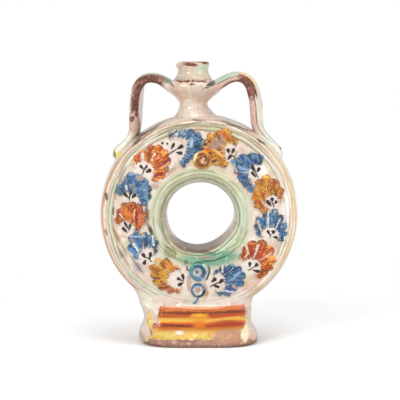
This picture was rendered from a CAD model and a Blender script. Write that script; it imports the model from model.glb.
import math

import bmesh
import bpy
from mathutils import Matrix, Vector, noise


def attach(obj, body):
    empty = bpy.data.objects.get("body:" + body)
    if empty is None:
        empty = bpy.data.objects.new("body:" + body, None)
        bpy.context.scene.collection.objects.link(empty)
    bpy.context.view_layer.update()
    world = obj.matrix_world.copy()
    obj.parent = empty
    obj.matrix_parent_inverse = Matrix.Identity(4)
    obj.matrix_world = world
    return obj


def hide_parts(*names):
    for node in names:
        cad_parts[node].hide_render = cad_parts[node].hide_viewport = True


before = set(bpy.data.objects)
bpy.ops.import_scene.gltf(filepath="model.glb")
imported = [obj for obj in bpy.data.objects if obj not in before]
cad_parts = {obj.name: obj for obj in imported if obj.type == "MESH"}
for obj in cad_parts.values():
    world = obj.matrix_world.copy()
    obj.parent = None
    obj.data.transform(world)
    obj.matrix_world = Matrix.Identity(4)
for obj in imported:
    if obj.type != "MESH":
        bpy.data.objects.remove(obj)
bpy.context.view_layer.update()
print("frame loaded:", len(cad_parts), "nodes")

# Everything is shaped in millimetres, front towards -Y, and becomes metres when its mesh is finished.
millimetre = 0.001
weld = {"seam": 0.003, "piece": 0.002}  # closer points become one
view = {
    "eye": (1.0, -1500.0, 315.5),
    "aim": (1.0, 0.0, 142.1),
    "lens": 136.9,
    "sensor": 36.0,
    "frame": 400,
}
ringMiddle = 128.0
facePlane = -30.0


def clamp(value, low=0.0, high=1.0):
    return max(low, min(high, value))


def ease(value, low, high):
    share = clamp((value - low) / (high - low))
    return share * share * (3 - 2 * share)


def blendValues(a, b, share):
    return a + (b - a) * share


# Where a spot of the front view lies on an upright plane, as x and z.
def spot(across, down, plane=facePlane):
    eye, aim = Vector(view["eye"]), Vector(view["aim"])
    ahead = (aim - eye).normalized()
    right = Vector((1, 0, 0))
    focal = view["lens"] / view["sensor"] * view["frame"]
    middle = view["frame"] / 2
    ray = ahead * focal + right * (across - middle) + right.cross(ahead) * (middle - down)
    hit = eye + ray * ((plane - eye.y) / ray.y)
    return hit.x, hit.z


# The same place as a point, flat on the plane through the ring's middle.
def flatSpot(across, down, plane=facePlane):
    x, z = spot(across, down, plane)
    return Vector((x, 0, z))


# The hole sits a little right of the ring's middle and is a little flat, and no wall is quite true.
# Pairs say where a change begins and ends: the skew below the ring's middle, the others by height.
handWork = {
    "holeShift": 1.6, "holeSkew": 3.4, "skewBelow": (36, 4), "holeNarrow": 0.968, "holeFlat": 0.955,
    "holeDrop": 0.8, "holeReach": (50, 84), "lift": 1.2, "liftFoot": (4, 26), "liftTop": (222, 272),
    "liftFade": 0.9, "wobble": 0.55, "wobbleSize": 42.0, "wobbleSeed": 7, "trueFoot": (2, 20),
    "trueTop": (262, 278),
}
noise.seed_set(handWork["wobbleSeed"])  # vector noise starts from the clock unless it is seeded


def shapeByHand(point):
    x, y, z = point
    work = handWork
    near = 1 - ease(math.hypot(x, z - ringMiddle), *work["holeReach"])
    skewLow, skewHigh = (ringMiddle - below for below in work["skewBelow"])
    x = x * (1 - (1 - work["holeNarrow"]) * near)
    x += (work["holeShift"] - work["holeSkew"] * (1 - ease(z, skewLow, skewHigh))) * near
    z = ringMiddle + (z - ringMiddle) * (1 - (1 - work["holeFlat"]) * near)
    z -= work["holeDrop"] * near
    z += work["lift"] * ease(z, *work["liftFoot"]) * (1 - work["liftFade"] * ease(z, *work["liftTop"]))
    stray = noise.noise_vector(Vector((x, y, z)) / work["wobbleSize"]) * work["wobble"]
    stray.z *= ease(z, *work["trueFoot"]) * (1 - ease(z, *work["trueTop"]))
    return Vector((x, y, z)) + stray


def finishPiece(bm, name, glaze, node, subdivide=1, byHand=True):
    bmesh.ops.remove_doubles(bm, verts=bm.verts, dist=weld["piece"])
    bmesh.ops.recalc_face_normals(bm, faces=bm.faces)
    for vert in bm.verts:
        vert.co = (shapeByHand(vert.co) if byHand else vert.co) * millimetre
    mesh = bpy.data.meshes.new(name)
    bm.to_mesh(mesh)
    bm.free()
    mesh.shade_smooth()
    piece = bpy.data.objects.new(name, mesh)
    bpy.context.scene.collection.objects.link(piece)
    mesh.materials.append(glaze)
    if subdivide:
        smoothing = piece.modifiers.new("smoothing", "SUBSURF")
        smoothing.levels = subdivide
        smoothing.render_levels = subdivide
    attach(piece, "root")
    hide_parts(node)


# Points of a new grid, each with its shares around and along from 0 to 1.
def gridPoints(bm, sides, rows):
    made = bmesh.ops.create_grid(bm, x_segments=sides, y_segments=rows, size=0.5)["verts"]
    return [(vert, vert.co.x + 0.5, vert.co.y + 0.5) for vert in made]


def weldPoints(bm, points, gap):
    bmesh.ops.remove_doubles(bm, verts=[vert for vert, around, along in points], dist=gap)


def closeEnds(bm):
    bmesh.ops.holes_fill(bm, edges=[edge for edge in bm.edges if edge.is_boundary], sides=0)


# A grid wrapped into a closed tube: shape(around, along) gives the point for two shares.
def wrapTube(bm, sides, rows, shape):
    points = gridPoints(bm, sides, rows)
    for vert, around, along in points:
        vert.co = shape(around, along)
    weldPoints(bm, points, weld["seam"])
    closeEnds(bm)


# Closed outline of radius and depth, turned about the ring's own axis.
def turnRing(bm, outline, steps=144):
    verts = [bm.verts.new((radius, depth, ringMiddle)) for radius, depth in outline]
    edges = [bm.edges.new(pair) for pair in zip(verts, verts[1:] + verts[:1])]
    bmesh.ops.spin(bm, geom=verts + edges, cent=(0, 0, ringMiddle), axis=(0, 1, 0), angle=2 * math.pi,
                   steps=steps, use_merge=True)


# Value of a list of (place, values) stops at a place, eased between them.
def alongStops(stops, place):
    for (low, a), (high, b) in zip(stops, stops[1:]):
        if place <= high:
            share = clamp((place - low) / (high - low))
            return [blendValues(p, q, share) for p, q in zip(a, b)]
    return list(stops[-1][1])


# Smooth path through points, and its direction.
def pathThrough(points):
    spans = len(points) - 1

    def where(share):
        place = clamp(share) * spans
        i = min(int(place), spans - 1)
        t = place - i
        a, b = Vector(points[i]), Vector(points[i + 1])
        before = Vector(points[i - 1]) if i else a * 2 - b
        after = Vector(points[i + 2]) if i + 2 <= spans else b * 2 - a
        return 0.5 * ((2 * a) + (b - before) * t + (2 * before - 5 * a + 4 * b - after) * t * t
                      + (3 * a - before - 3 * b + after) * t * t * t)

    def direction(share):
        return (where(share + 0.01) - where(share - 0.01)).normalized()

    return where, direction


# Glazes

# Linear colour of a tone as it is written.
def shade(code):
    parts = [int(code[i:i + 2], 16) / 255 for i in (1, 3, 5)]
    return tuple(p / 12.92 if p <= 0.04045 else ((p + 0.055) / 1.055) ** 2.4 for p in parts) + (1.0,)


def pigment(code):
    return Vector(shade(code)[:3])


endless = 1e5  # half size of a mark along the line of sight
markFade = (18, 6)  # how far behind its plane a mark is gone, and how far it is still whole


class Wire:  # a socket that can be reckoned with
    def __init__(self, glaze, socket):
        self.glaze = glaze
        self.socket = socket

    def sum(self, operation, *values):
        return self.glaze.node("ShaderNodeMath", {"operation": operation}, list(values))

    def __add__(self, other):
        return self.sum("ADD", self, other)

    def __radd__(self, other):
        return self.sum("ADD", other, self)

    def __sub__(self, other):
        return self.sum("SUBTRACT", self, other)

    def __rsub__(self, other):
        return self.sum("SUBTRACT", other, self)

    def __mul__(self, other):
        return self.sum("MULTIPLY", self, other)

    def __rmul__(self, other):
        return self.sum("MULTIPLY", other, self)

    def __truediv__(self, other):
        return self.sum("DIVIDE", self, other)

    def __abs__(self):
        return self.sum("ABSOLUTE", self)


class Glaze:  # the nodes of one glaze
    def __init__(self, name):
        self.material = bpy.data.materials.new(name)
        self.material.use_nodes = True
        self.tree = self.material.node_tree
        self.tree.nodes.clear()
        metres = self.node("ShaderNodeTexCoord", output="Object")
        self.place = self.node("ShaderNodeVectorMath", {"operation": "SCALE"},
                               {0: metres, "Scale": 1 / millimetre})
        jitter = self.node("ShaderNodeTexNoise", {}, {"Vector": self.place, "Scale": 0.35, "Detail": 2.0}, 1)
        centred = self.node("ShaderNodeVectorMath", {"operation": "SUBTRACT"}, [jitter, (0.5, 0.5, 0.5)])
        moved = self.node("ShaderNodeVectorMath", {"operation": "SCALE"}, {0: centred, "Scale": 2.6})
        self.ragged = self.node("ShaderNodeVectorMath", {"operation": "ADD"}, [self.place, moved])
        self.x, self.y, self.z = self.split(self.place)
        self.fronts = {}

    def node(self, kind, settings=None, inputs=None, output=0):
        made = self.tree.nodes.new(kind)
        for key, value in (settings or {}).items():
            if key == "stops":
                self.fillRamp(made.color_ramp, value)
            else:
                setattr(made, key, value)
        pairs = enumerate(inputs) if isinstance(inputs, list) else (inputs or {}).items()
        for key, value in pairs:
            if isinstance(value, Wire):
                self.tree.links.new(value.socket, made.inputs[key])
            else:
                made.inputs[key].default_value = value
        return Wire(self, made.outputs[output] if made.outputs else None)

    def fillRamp(self, ramp, stops):
        while len(ramp.elements) > 1:
            ramp.elements.remove(ramp.elements[0])
        for i, (place, colour) in enumerate(stops):
            element = ramp.elements[0] if i == 0 else ramp.elements.new(place)
            element.position = place
            element.color = shade(colour)

    def attribute(self, name, output="Vector"):
        return self.node("ShaderNodeAttribute", {"attribute_name": name}, output=output)

    def combine(self, x, y, z):
        return self.node("ShaderNodeCombineXYZ", {}, [x, y, z])

    def split(self, vector):
        parts = self.node("ShaderNodeSeparateXYZ", {}, [vector])
        outputs = parts.socket.node.outputs
        return [Wire(self, outputs[i]) for i in range(3)]

    def ease(self, value, low, high):
        return self.node("ShaderNodeMapRange", {"interpolation_type": "SMOOTHSTEP"},
                         {"Value": value, "From Min": low, "From Max": high})

    def grain(self, size, detail=2.0, where=None, roughness=0.5):
        return self.node("ShaderNodeTexNoise", {}, {"Vector": where or self.place, "Scale": 1 / size,
                                                    "Detail": detail, "Roughness": roughness})

    # Grain stretched along some directions, as factors for x, y and z.
    def streaks(self, size, stretch, detail=2.0):
        where = self.node("ShaderNodeVectorMath", {"operation": "MULTIPLY"}, [self.place, stretch])
        return self.grain(size, detail, where)

    def colours(self, stops, share):
        return self.node("ShaderNodeValToRGB", {"stops": stops}, [share])

    # Colours by bands, each at its place within a span of the value.
    def bands(self, value, span, stops):
        low, high = span
        spread = [((place - low) / (high - low), colour) for place, colour in stops]
        return self.colours(spread, (value - low) / (high - low))

    def lay(self, ground, colour, mask):
        under, over = (shade(tone) if isinstance(tone, str) else tone for tone in (ground, colour))
        return self.node("ShaderNodeMix", {"data_type": "RGBA"}, {0: mask, 6: under, 7: over}, 2)

    # Distance from a place in the front view, in half sizes of an oval that may be turned.
    def reach(self, x, z, halfSizes=(1, 1), turn=0.0, where=None):
        oval = self.node("ShaderNodeMapping", {"vector_type": "TEXTURE"}, {
            "Vector": where or self.place, "Location": (x, 0, z), "Rotation": (0, -math.radians(turn), 0),
            "Scale": (halfSizes[0], endless, halfSizes[1])})
        return self.node("ShaderNodeVectorMath", {"operation": "LENGTH"}, [oval], "Value")

    # A dab of the brush on the front, by its middle, half sizes and turn in the front view.
    def dab(self, across, down, halfWidth, halfHeight, turn=0.0, soft=0.35, plane=facePlane):
        x, z = spot(across, down, plane)
        far = self.reach(x, z, (halfWidth, halfHeight), turn, self.ragged)
        if plane not in self.fronts:
            self.fronts[plane] = self.ease(self.y, *(plane + behind for behind in markFade))
        return self.ease(far, 1 + soft, 1 - soft) * self.fronts[plane]

    # A drawn line between two spots of the front view.
    def line(self, start, end, halfWidth, soft=0.5, plane=facePlane):
        run, rise = end[0] - start[0], start[1] - end[1]
        across, down = (start[0] + end[0]) / 2, (start[1] + end[1]) / 2
        halfLength = math.hypot(run, rise) / 2 + halfWidth
        turn = math.degrees(math.atan2(rise, run))
        return self.dab(across, down, halfLength, halfWidth, turn, soft, plane)

    # A line where the place starts with two spots, and otherwise a dab, laid on a colour.
    def mark(self, colour, place, tone, strength):
        brush = self.line if isinstance(place[0], tuple) else self.dab
        return self.lay(colour, tone, brush(*place) * strength)

    def finish(self, colour, height, roughness, coat):
        normal = self.node("ShaderNodeBump", {}, {"Height": height, "Distance": millimetre, "Strength": 1.0})
        shader = self.node("ShaderNodeBsdfPrincipled", {}, {
            "Base Color": colour, "Roughness": roughness, "Normal": normal, "Coat Weight": coat,
            "Coat Roughness": 0.08, "IOR": 1.5, "Specular IOR Level": 0.2})
        self.node("ShaderNodeOutputMaterial", {}, {"Surface": shader})
        return self.material


# Cream tin glaze over a pinkish body, thinner where the body shows through.
creamTones = {
    "cream": "#DDCFBE", "white": "#F1E8DD", "pink": "#D5B9A6", "shade": "#B79C84", "green": "#C3C9A9",
    "speck": "#7C5A42",
}


def creamGround(glaze):
    tones = creamTones
    colour = glaze.lay(tones["cream"], tones["pink"], glaze.ease(glaze.grain(19, 3), 0.42, 0.62))
    thick = glaze.ease(glaze.grain(10, 4, roughness=0.62), 0.5, 0.68)
    colour = glaze.lay(colour, tones["white"], thick)
    colour = glaze.lay(colour, tones["green"], glaze.ease(glaze.grain(23, 2), 0.54, 0.68) * 0.6)
    thin = glaze.ease(glaze.grain(4.6, 4, roughness=0.66), 0.54, 0.74)
    colour = glaze.lay(colour, tones["shade"], thin * 0.75)
    drops = glaze.ease(glaze.grain(2.2, 3, roughness=0.6), 0.6, 0.76)
    colour = glaze.lay(colour, tones["white"], drops * 0.6)
    specks = glaze.ease(glaze.grain(1.9, 1), 0.74, 0.8)
    return glaze.lay(colour, tones["speck"], specks * 0.6), specks


# Height of the glaze in millimetres: slow waves, fine grain and pinholes.
def glazeSkin(glaze, specks):
    waves = glaze.grain(7, 3, roughness=0.6)
    return waves * 1.3 + glaze.grain(1.7, 3, roughness=0.6) * 0.3 - specks * 0.12


# The ring: mint glaze on the bead round the hole and on the ridges of the hoop, as bands by their distance
# from the middle of the ring or of the hole.
ringPaint = {
    "rimSpan": (82, 98.5),
    "holeSpan": (34, 52.5),
    "left": [(82, "#D6CCB8"), (84.4, "#A39D7E"), (86, "#CAD4B2"), (87.6, "#BAC39E"), (88.6, "#9C9078"),
             (89.7, "#E2D9D2"), (90.9, "#A89586"), (92, "#F8E6D2"), (93.8, "#DDA26C"), (95.2, "#A87A52"),
             (96.4, "#F8E8D6"), (98.4, "#E2CEBA")],
    "right": [(82, "#E4D8CA"), (84.5, "#B7A68F"), (86.6, "#EFEBE2"), (88.4, "#B49A82"), (90, "#F3E3CC"),
              (91.6, "#C5A883"), (93, "#F6E0B2"), (94.8, "#D5B078"), (96.4, "#FBEFD2"), (98.4, "#ECDDC7")],
    "top": [(82, "#D3C7AE"), (84.6, "#87795C"), (86.6, "#DAD0B2"), (88.4, "#8E8464"), (90, "#C3BE9C"),
            (91.3, "#6E5A44"), (92.6, "#E3CDBA"), (94.6, "#B0957C"), (96, "#DCC6B4"), (98.4, "#B99D8A")],
    "holeLeft": [(34, "#B5A592"), (37.2, "#BFB29F"), (38.9, "#B0AC90"), (40.2, "#8A9568"),
                 (41.6, "#A3AC86"), (43.2, "#BDBCA2"), (44.6, "#C9CFB0"), (46.2, "#D9DEC0"),
                 (47.8, "#B4B894"), (49.2, "#C6CAAA"), (50.8, "#D3CBB2"), (52.5, "#D6C8B4")],
    "holeRight": [(34, "#CFC0AC"), (35.8, "#E0E2D0"), (38.2, "#D2D8C0"), (39.3, "#7F9A7C"),
                  (40.4, "#C3D2B2"), (41.8, "#D3DDC2"), (43.4, "#B9C6A2"), (44.8, "#D8DABF"),
                  (46.8, "#C2CCAA"), (48.8, "#D3D7BA"), (50.6, "#DCD3BC"), (52.5, "#DDCDBA")],
    "holeTop": [(34, "#BDB29E"), (38.4, "#C9C8B4"), (40.0, "#B3B59C"), (41.6, "#8E9372"), (43.0, "#B9BA9A"),
                (44.2, "#989C78"), (45.6, "#CACBA8"), (46.8, "#BFC0A0"), (48.2, "#8E966C"),
                (49.6, "#C6CBA6"), (51, "#D2CBAE"), (52.5, "#D4C6B0")],
}


# Whiter ground that each flower's sprig is painted on: middle and half sizes in the front view.
calyxes = [
    (171, 151, 14, 12), (234, 153, 9, 11), (258, 172, 9, 9), (273, 203, 8, 8), (271, 235, 10, 8),
    (251, 269, 9, 9), (214, 282, 10, 10), (179, 281, 12, 9), (146, 258, 10, 8), (126, 230, 10, 8),
    (130, 199, 8, 7), (142, 169, 11, 10),
]


# Marks of the brush in the front view, laid one over another, each with its tone and strength: a dab by its
# middle, half sizes and turn, or a line by two spots and its half width, then its softness and its plane.
ringMarks = [
    ((197.5, 262.4, 2.2, 0.9), "#14302A", 0.9), (((187, 250.5), (214, 253.4), 1.6), "#5C5A40", 0.75),
    (((200, 261.4), (215, 260.4), 0.8), "#2C5A44", 0.9),
    (((215, 260.4), (229, 254.6), 0.8), "#2C5A44", 0.9),
    (((229, 254.6), (240, 244.6), 0.7), "#3F6A50", 0.8),
    (((240, 244.6), (247.6, 230), 0.6), "#5F8062", 0.75),
    (((212, 255.6), (225, 251.4), 0.6), "#476F50", 0.7),
    (((225, 251.4), (236, 242.6), 0.6), "#476F50", 0.7),
    (((236, 242.6), (243.6, 227), 0.6), "#5F8062", 0.65), (((196, 257.4), (214, 257), 1.2), "#A88A72", 0.7),
    ((214, 243.6, 9, 2.2, 25), "#C08A7A", 0.6), ((186, 259.5, 9, 2.6, -8), "#7FB08C", 0.7),
    ((243, 245, 6, 8, 50), "#9CC07A", 0.4), ((223, 172.4, 4, 2), "#B5C890", 0.45),
    ((152, 196, 2.4, 9, -12), "#D5D9BC", 0.6), ((159, 233, 2.2, 9, 22), "#D9D2C6", 0.6),
    ((224, 176, 10, 2.2, -26), "#DDCDB6", 0.7), ((247.4, 188, 2.4, 6, 24), "#E6C9A8", 0.6),
    (((146.4, 207), (147.4, 221), 2.2), "#55462C", 0.85),
    (((148.6, 226), (152.4, 234.4), 1.8), "#2C2014", 0.95),
    ((169.5, 252.5, 6.5, 4.6, -40), "#8F9666", 0.85), (((164, 245), (175.5, 252), 0.8), "#8C4A34", 0.8),
    (((175.5, 252), (175, 258), 0.8), "#8C4A34", 0.6), ((115.6, 196, 1.9, 4.5), "#D9917C", 0.7),
    ((154.6, 186.5, 3.4, 2.6, -20, 0.8), "#8C6357", 0.5), ((172, 170, 4, 1.8, 30, 0.8), "#7E6450", 0.6),
    ((122, 172, 2.0, 8, -24), "#A98C70", 0.7), (((119, 249), (128, 266), 1.7), "#846744", 0.85),
    (((122, 244), (127, 257), 1.2), "#9C8060", 0.8), (((113.6, 228), (119, 242), 1.8), "#A8733F", 0.85),
    ((113.2, 211, 1.1, 4.5), "#5E5B38", 0.9), ((137, 266, 6.5, 4.0, -45), "#8D929A", 0.7),
    (((133, 260), (143, 273), 1.0), "#585C66", 0.75), (((130, 255), (139, 268), 0.8), "#6C625C", 0.6),
    ((213, 128.6, 4, 1.8), "#BCC06A", 0.5), ((197, 129.5, 2.6, 2.2), "#DDA37C", 0.5),
    ((241, 151, 3.6, 3.4), "#B98A6C", 0.4), ((236, 154.6, 1.4, 4, -20), "#8E8474", 0.7),
    (((193, 119.9), (205, 121), 0.9, 0.5, -26), "#6A5240", 0.9),
    (((172, 125.6), (203, 122.2), 0.8), "#7C7448", 0.75),
    (((207, 122.0), (232, 126.4), 0.9), "#86704E", 0.8),
    (((220, 119.6), (252, 131.4), 1.0, 0.5, -18), "#523A2C", 0.85),
    (((130, 148), (152, 131.6), 0.8, 0.5, -24), "#8C5340", 0.8),
    (((134.6, 142.6), (141, 135.4), 1.8, 0.5, -18), "#3A2016", 0.95),
    (((140, 136), (163, 122.4), 1.1, 0.5, -18), "#3C2416", 0.95),
    (((257, 138.8), (264.4, 143.4), 1.0, 0.4, -20), "#43281C", 0.95),
    ((107, 195.5, 1.6, 4.2, 10, 0.35, -20), "#6E4238", 0.9),
    ((106.8, 231, 1.6, 3.4, 10, 0.35, -20), "#8F6A54", 0.8), ((165, 160, 8, 6), "#EADFD6", 0.8),
    ((176, 158, 7, 5), "#E2CCC2", 0.6), ((205, 291, 3, 9), "#B98C6C", 0.6),
    ((189, 283, 2.6, 8), "#A98672", 0.7), ((207, 293, 1.6, 4), "#A87846", 0.7),
    ((186, 262, 2.0, 2.6), "#6C6258", 0.75), ((255, 281, 14, 7, 35), "#CFA98E", 0.6),
    ((268, 276, 13, 4, 42), "#EFE0D0", 0.7), ((263, 171, 7, 4, -50), "#F3EEE6", 0.8),
    ((279, 186, 2.2, 6, 20), "#F6F0EA", 0.8), ((286, 205, 4, 16), "#EFEDE6", 0.7),
    ((256, 225, 1.4, 9), "#8E6E50", 0.6), (((270, 155), (284, 178), 0.8, 0.5, -27), "#BFA894", 0.8),
    ((228, 300, 22, 4), "#E3D5CA", 0.7), (((258.6, 281.4), (274, 264.4), 0.8), "#A2662E", 0.85),
    ((275, 262, 8, 8), "#F5D9BA", 0.55), ((127, 265, 8, 9, -40), "#E2D2C0", 0.4),
    (((110, 176), (126, 190), 1.0), "#B7C08C", 0.5), ((166, 299, 16, 4), "#E8D3C2", 0.7),
]


# How far from the ring's middle a mark reaches, inwards and outwards.
def markSpan(place):
    if isinstance(place[0], tuple):
        (left, top), (right, bottom), size = place[:3]
        middle = ((left + right) / 2, (top + bottom) / 2)
        size += math.hypot(right - left, bottom - top) / 2
    else:
        middle, size = place[:2], max(place[2:4])
    x, z = spot(*middle)
    away = math.hypot(x, z - ringMiddle)
    return away - size * 1.3 - 1, away + size * 1.3 + 1


# Fine turned lines drawn out around the ring, faint on its hoop and its hole's wall.
def turnedLines(glaze, away):
    around = glaze.node("ShaderNodeMath", {"operation": "ARCTAN2"}, [glaze.z - ringMiddle, glaze.x])
    lines = glaze.grain(1.3, 3, glaze.combine(away, around * 4.0, glaze.y * 0.6))
    return 0.5 + (lines - 0.5) * (0.45 + 0.55 * glaze.ease(abs(glaze.y), 22.0, 28.0))


# Distance from the middle of the hole, which the hand left out of true.
def awayFromHole(glaze):
    work = handWork
    skewLow, skewHigh = (ringMiddle - below for below in work["skewBelow"])
    x = glaze.x + glaze.ease(glaze.z, skewHigh, skewLow) * work["holeSkew"]
    straight = glaze.combine(x, glaze.y, glaze.z)
    middle = ringMiddle + work["lift"] - work["holeDrop"]
    flat = work["holeFlat"] / work["holeNarrow"]
    return glaze.reach(work["holeShift"], middle, (1, flat), where=straight) / work["holeNarrow"]


def paintRim(glaze, colour, away, turned):
    right, left, top = (glaze.bands(away, ringPaint["rimSpan"], ringPaint[side])
                        for side in ("right", "left", "top"))
    rim = glaze.lay(right, left, glaze.ease(glaze.x, 8.0, -40.0))
    rim = glaze.lay(rim, top, glaze.ease(glaze.z, ringMiddle + 40.0, ringMiddle + 78.0))
    mask = glaze.ease(away, 82.4, 85.0) * (1 - glaze.ease(glaze.z, 58.0, 44.0))
    colour = glaze.lay(colour, rim, mask * 0.9)
    colour = glaze.lay(colour, "#8A7458", glaze.ease(turned, 0.53, 0.72) * mask * 0.75)
    colour = glaze.lay(colour, "#FFF8EE", glaze.ease(turned, 0.45, 0.3) * mask * 0.7)
    return colour, mask


def paintBead(glaze, colour, away, turned):
    left, right, top = (glaze.bands(away, ringPaint["holeSpan"], ringPaint[side])
                        for side in ("holeLeft", "holeRight", "holeTop"))
    bead = glaze.lay(left, right, glaze.ease(glaze.x, -10.0, 14.0))
    bead = glaze.lay(bead, top, glaze.ease(glaze.z, ringMiddle + 14.0, ringMiddle + 34.0))
    bead = glaze.lay(bead, "#8F9373", 0.18)
    bead = glaze.lay(bead, "#CDBCA6", glaze.ease(glaze.grain(14, 2), 0.5, 0.68) * 0.5)
    bead = glaze.lay(bead, "#869C72", glaze.ease(turned, 0.54, 0.74) * 0.65)
    bead = glaze.lay(bead, "#ECEBD8", glaze.ease(turned, 0.44, 0.28) * 0.6)
    mask = glaze.ease(away, 53.4, 49.8)
    return glaze.lay(colour, bead, mask), mask


def paintWall(glaze, colour, away):
    shadow = glaze.ease(glaze.z, ringMiddle - 17.0, ringMiddle - 31.0)
    sky = glaze.ease(glaze.z, ringMiddle + 18.0, ringMiddle + 32.0)
    wall = glaze.lay(glaze.lay("#C2AF9D", "#7E6250", shadow), "#D6D6C4", sky)
    dark = glaze.ease(glaze.streaks(5, (1, 0.25, 1), 3), 0.52, 0.72)
    wall = glaze.lay(wall, "#5C4B3C", dark * 0.5)
    pale = glaze.ease(glaze.streaks(4, (1, 0.3, 1), 3), 0.42, 0.26)
    wall = glaze.lay(wall, "#D9C3B4", pale * 0.6)
    mask = glaze.ease(abs(glaze.y), 29.2, 26.0) * glaze.ease(away, 44.0, 41.0)
    return glaze.lay(colour, wall, mask * 0.92)


# White patches under the sprigs, and the green pool below the hole.
def paintFace(glaze, colour):
    sprig = glaze.attribute("sprig", "Fac")
    patch = glaze.ease(sprig + (glaze.grain(5, 3, roughness=0.6) - 0.5) * 0.9, 0.34, 0.62)
    colour = glaze.lay(colour, "#E7DCD3", patch * 0.65)
    colour = glaze.lay(colour, "#D9C2B8", patch * glaze.ease(glaze.grain(3.4, 3), 0.52, 0.66) * 0.6)
    pool = glaze.dab(213, 259, 27, 7.5, 8)
    colour = glaze.lay(colour, "#4F9474", pool * 0.8)
    return glaze.lay(colour, "#8DCBA8", pool * glaze.ease(glaze.grain(5, 3), 0.52, 0.66) * 0.7)


# Glaze of one part of the ring, with the marks that reach between two distances from its middle.
def ringGlaze(part, inner, outer, marked=True):
    glaze = Glaze("ring_glaze_" + part)
    colour, specks = creamGround(glaze)
    away = glaze.reach(0, ringMiddle + handWork["lift"])
    sway = (glaze.grain(16, 2) - 0.5) * 3.0
    turned = turnedLines(glaze, away)
    colour, rim = paintRim(glaze, colour, away + sway, turned)
    hole = awayFromHole(glaze) + sway * 0.35
    colour, bead = paintBead(glaze, colour, hole, turned)
    if part == "wall":
        colour = paintWall(glaze, colour, hole)
    if part == "face":
        colour = paintFace(glaze, colour)
    for place, tone, strength in ringMarks if marked else []:
        near, far = markSpan(place)
        if near < outer and far > inner:
            colour = glaze.mark(colour, place, tone, strength)
    worn = glaze.ease(glaze.grain(7, 4, roughness=0.7), 0.64, 0.69) * glaze.ease(away, 88.0, 93.0)
    colour = glaze.lay(colour, "#97725A", worn * 0.7)
    height = glazeSkin(glaze, specks) + turned * 0.5 * (rim + bead * 0.6)
    coat = 0.25 if part == "wall" else 0.95
    return glaze.finish(colour, height, 0.3 + worn * 0.3, coat - worn * 0.2)


# Neck and spout: pinkish cream, bare red-brown clay on the rim and at the collar.
def neckGlaze():
    glaze = Glaze("neck_glaze")
    colour, specks = creamGround(glaze)
    colour = glaze.lay(colour, "#CBB3A2", glaze.ease(glaze.x, -8.0, 6.0) * 0.6)
    lines = glaze.streaks(2.2, (0.15, 0.15, 1.0))
    upright = glaze.streaks(4.5, (1.0, 1.0, 0.16), 3)
    colour = glaze.lay(colour, "#B49780", glaze.ease(lines, 0.54, 0.76) * 0.3)
    colour = glaze.lay(colour, "#C3A892", glaze.ease(upright, 0.5, 0.66) * 0.6)
    colour = glaze.lay(colour, "#EFE6DC", glaze.ease(upright, 0.46, 0.3) * 0.5)
    colour = glaze.lay(colour, "#C2A692", glaze.ease(abs(glaze.z - 250.0), 13.0, 4.0) * 0.45)
    colour = glaze.lay(colour, "#BBA48E", glaze.ease(glaze.z, 259.0, 263.0) * 0.55)
    colour = glaze.lay(colour, "#BFCFB2", glaze.dab(203, 68.6, 7, 4.4, soft=0.7, plane=-15) * 0.65)
    seam = glaze.ease(abs(glaze.z - 263.0), 2.4, 1.0) * glaze.ease(glaze.x, 4, -10)
    colour = glaze.lay(colour, "#A9A48C", seam * 0.6)
    colour = glaze.lay(colour, "#DCB79A", glaze.dab(182, 96, 4, 4, plane=-15) * 0.6)
    colour = glaze.lay(colour, "#E3D5B8", glaze.ease(glaze.z, 226.0, 221.0) * 0.6)
    collar = glaze.ease(abs(glaze.z - 260.4 + (glaze.grain(3, 3) - 0.5) * 5.0), 1.4, 0.5)
    collar = collar * glaze.ease(glaze.grain(5, 2), 0.34, 0.44) * glaze.ease(abs(glaze.x + 8.6), 17.0, 14.0)
    drip = glaze.ease(glaze.grain(2.4, 2), 0.6, 0.66) * glaze.ease(abs(glaze.z - 258.6), 3.0, 1.2)
    bare = collar + drip * 0.45
    bare = bare + glaze.dab(190.5, 64.6, 7.4, 1.5, -4, plane=-17)
    bare = bare + glaze.dab(205.4, 62.8, 3.8, 1.7, plane=-16)
    bare = bare + glaze.line((183, 62.4), (204, 61.8), 0.8, plane=-16) * 0.7
    bare = bare + glaze.dab(191.6, 84.2, 1.6, 1.3, plane=-20)
    bare = bare + glaze.ease(glaze.grain(5, 3), 0.58, 0.64) * glaze.ease(glaze.z, 277.6, 278.6)
    bare = glaze.node("ShaderNodeClamp", {}, [bare])
    colour = glaze.lay(colour, "#74452F", bare)
    colour = glaze.lay(colour, "#4E4634", glaze.dab(211.5, 83.6, 6, 2.4, 32, plane=-14))
    colour = glaze.lay(colour, "#6B5A4A", glaze.line((204, 88.2), (213, 85), 0.9, plane=-14))
    colour = glaze.lay(colour, "#6F5748", glaze.line((168, 80.5), (173.6, 86), 0.9, plane=-12))
    height = glazeSkin(glaze, specks) + lines * 0.1 + upright * 0.3 - bare * 0.35
    return glaze.finish(colour, height, 0.3 + bare * 0.4, 0.95 - bare * 0.8)


# Straps: glaze on the broad sides, worn through to the clay along the front edge.
strapPaint = {
    "left": {"outer": "#A9A288", "inner": "#D2C6C0", "leg": "#D8C8BA", "clay": "#6A4034", "pale": "#C39C8A"},
    "right": {"outer": "#B9C2A6", "inner": "#CDB9AA", "leg": "#E2D5C4", "clay": "#6E4436", "pale": "#C9A593"},
}


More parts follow.
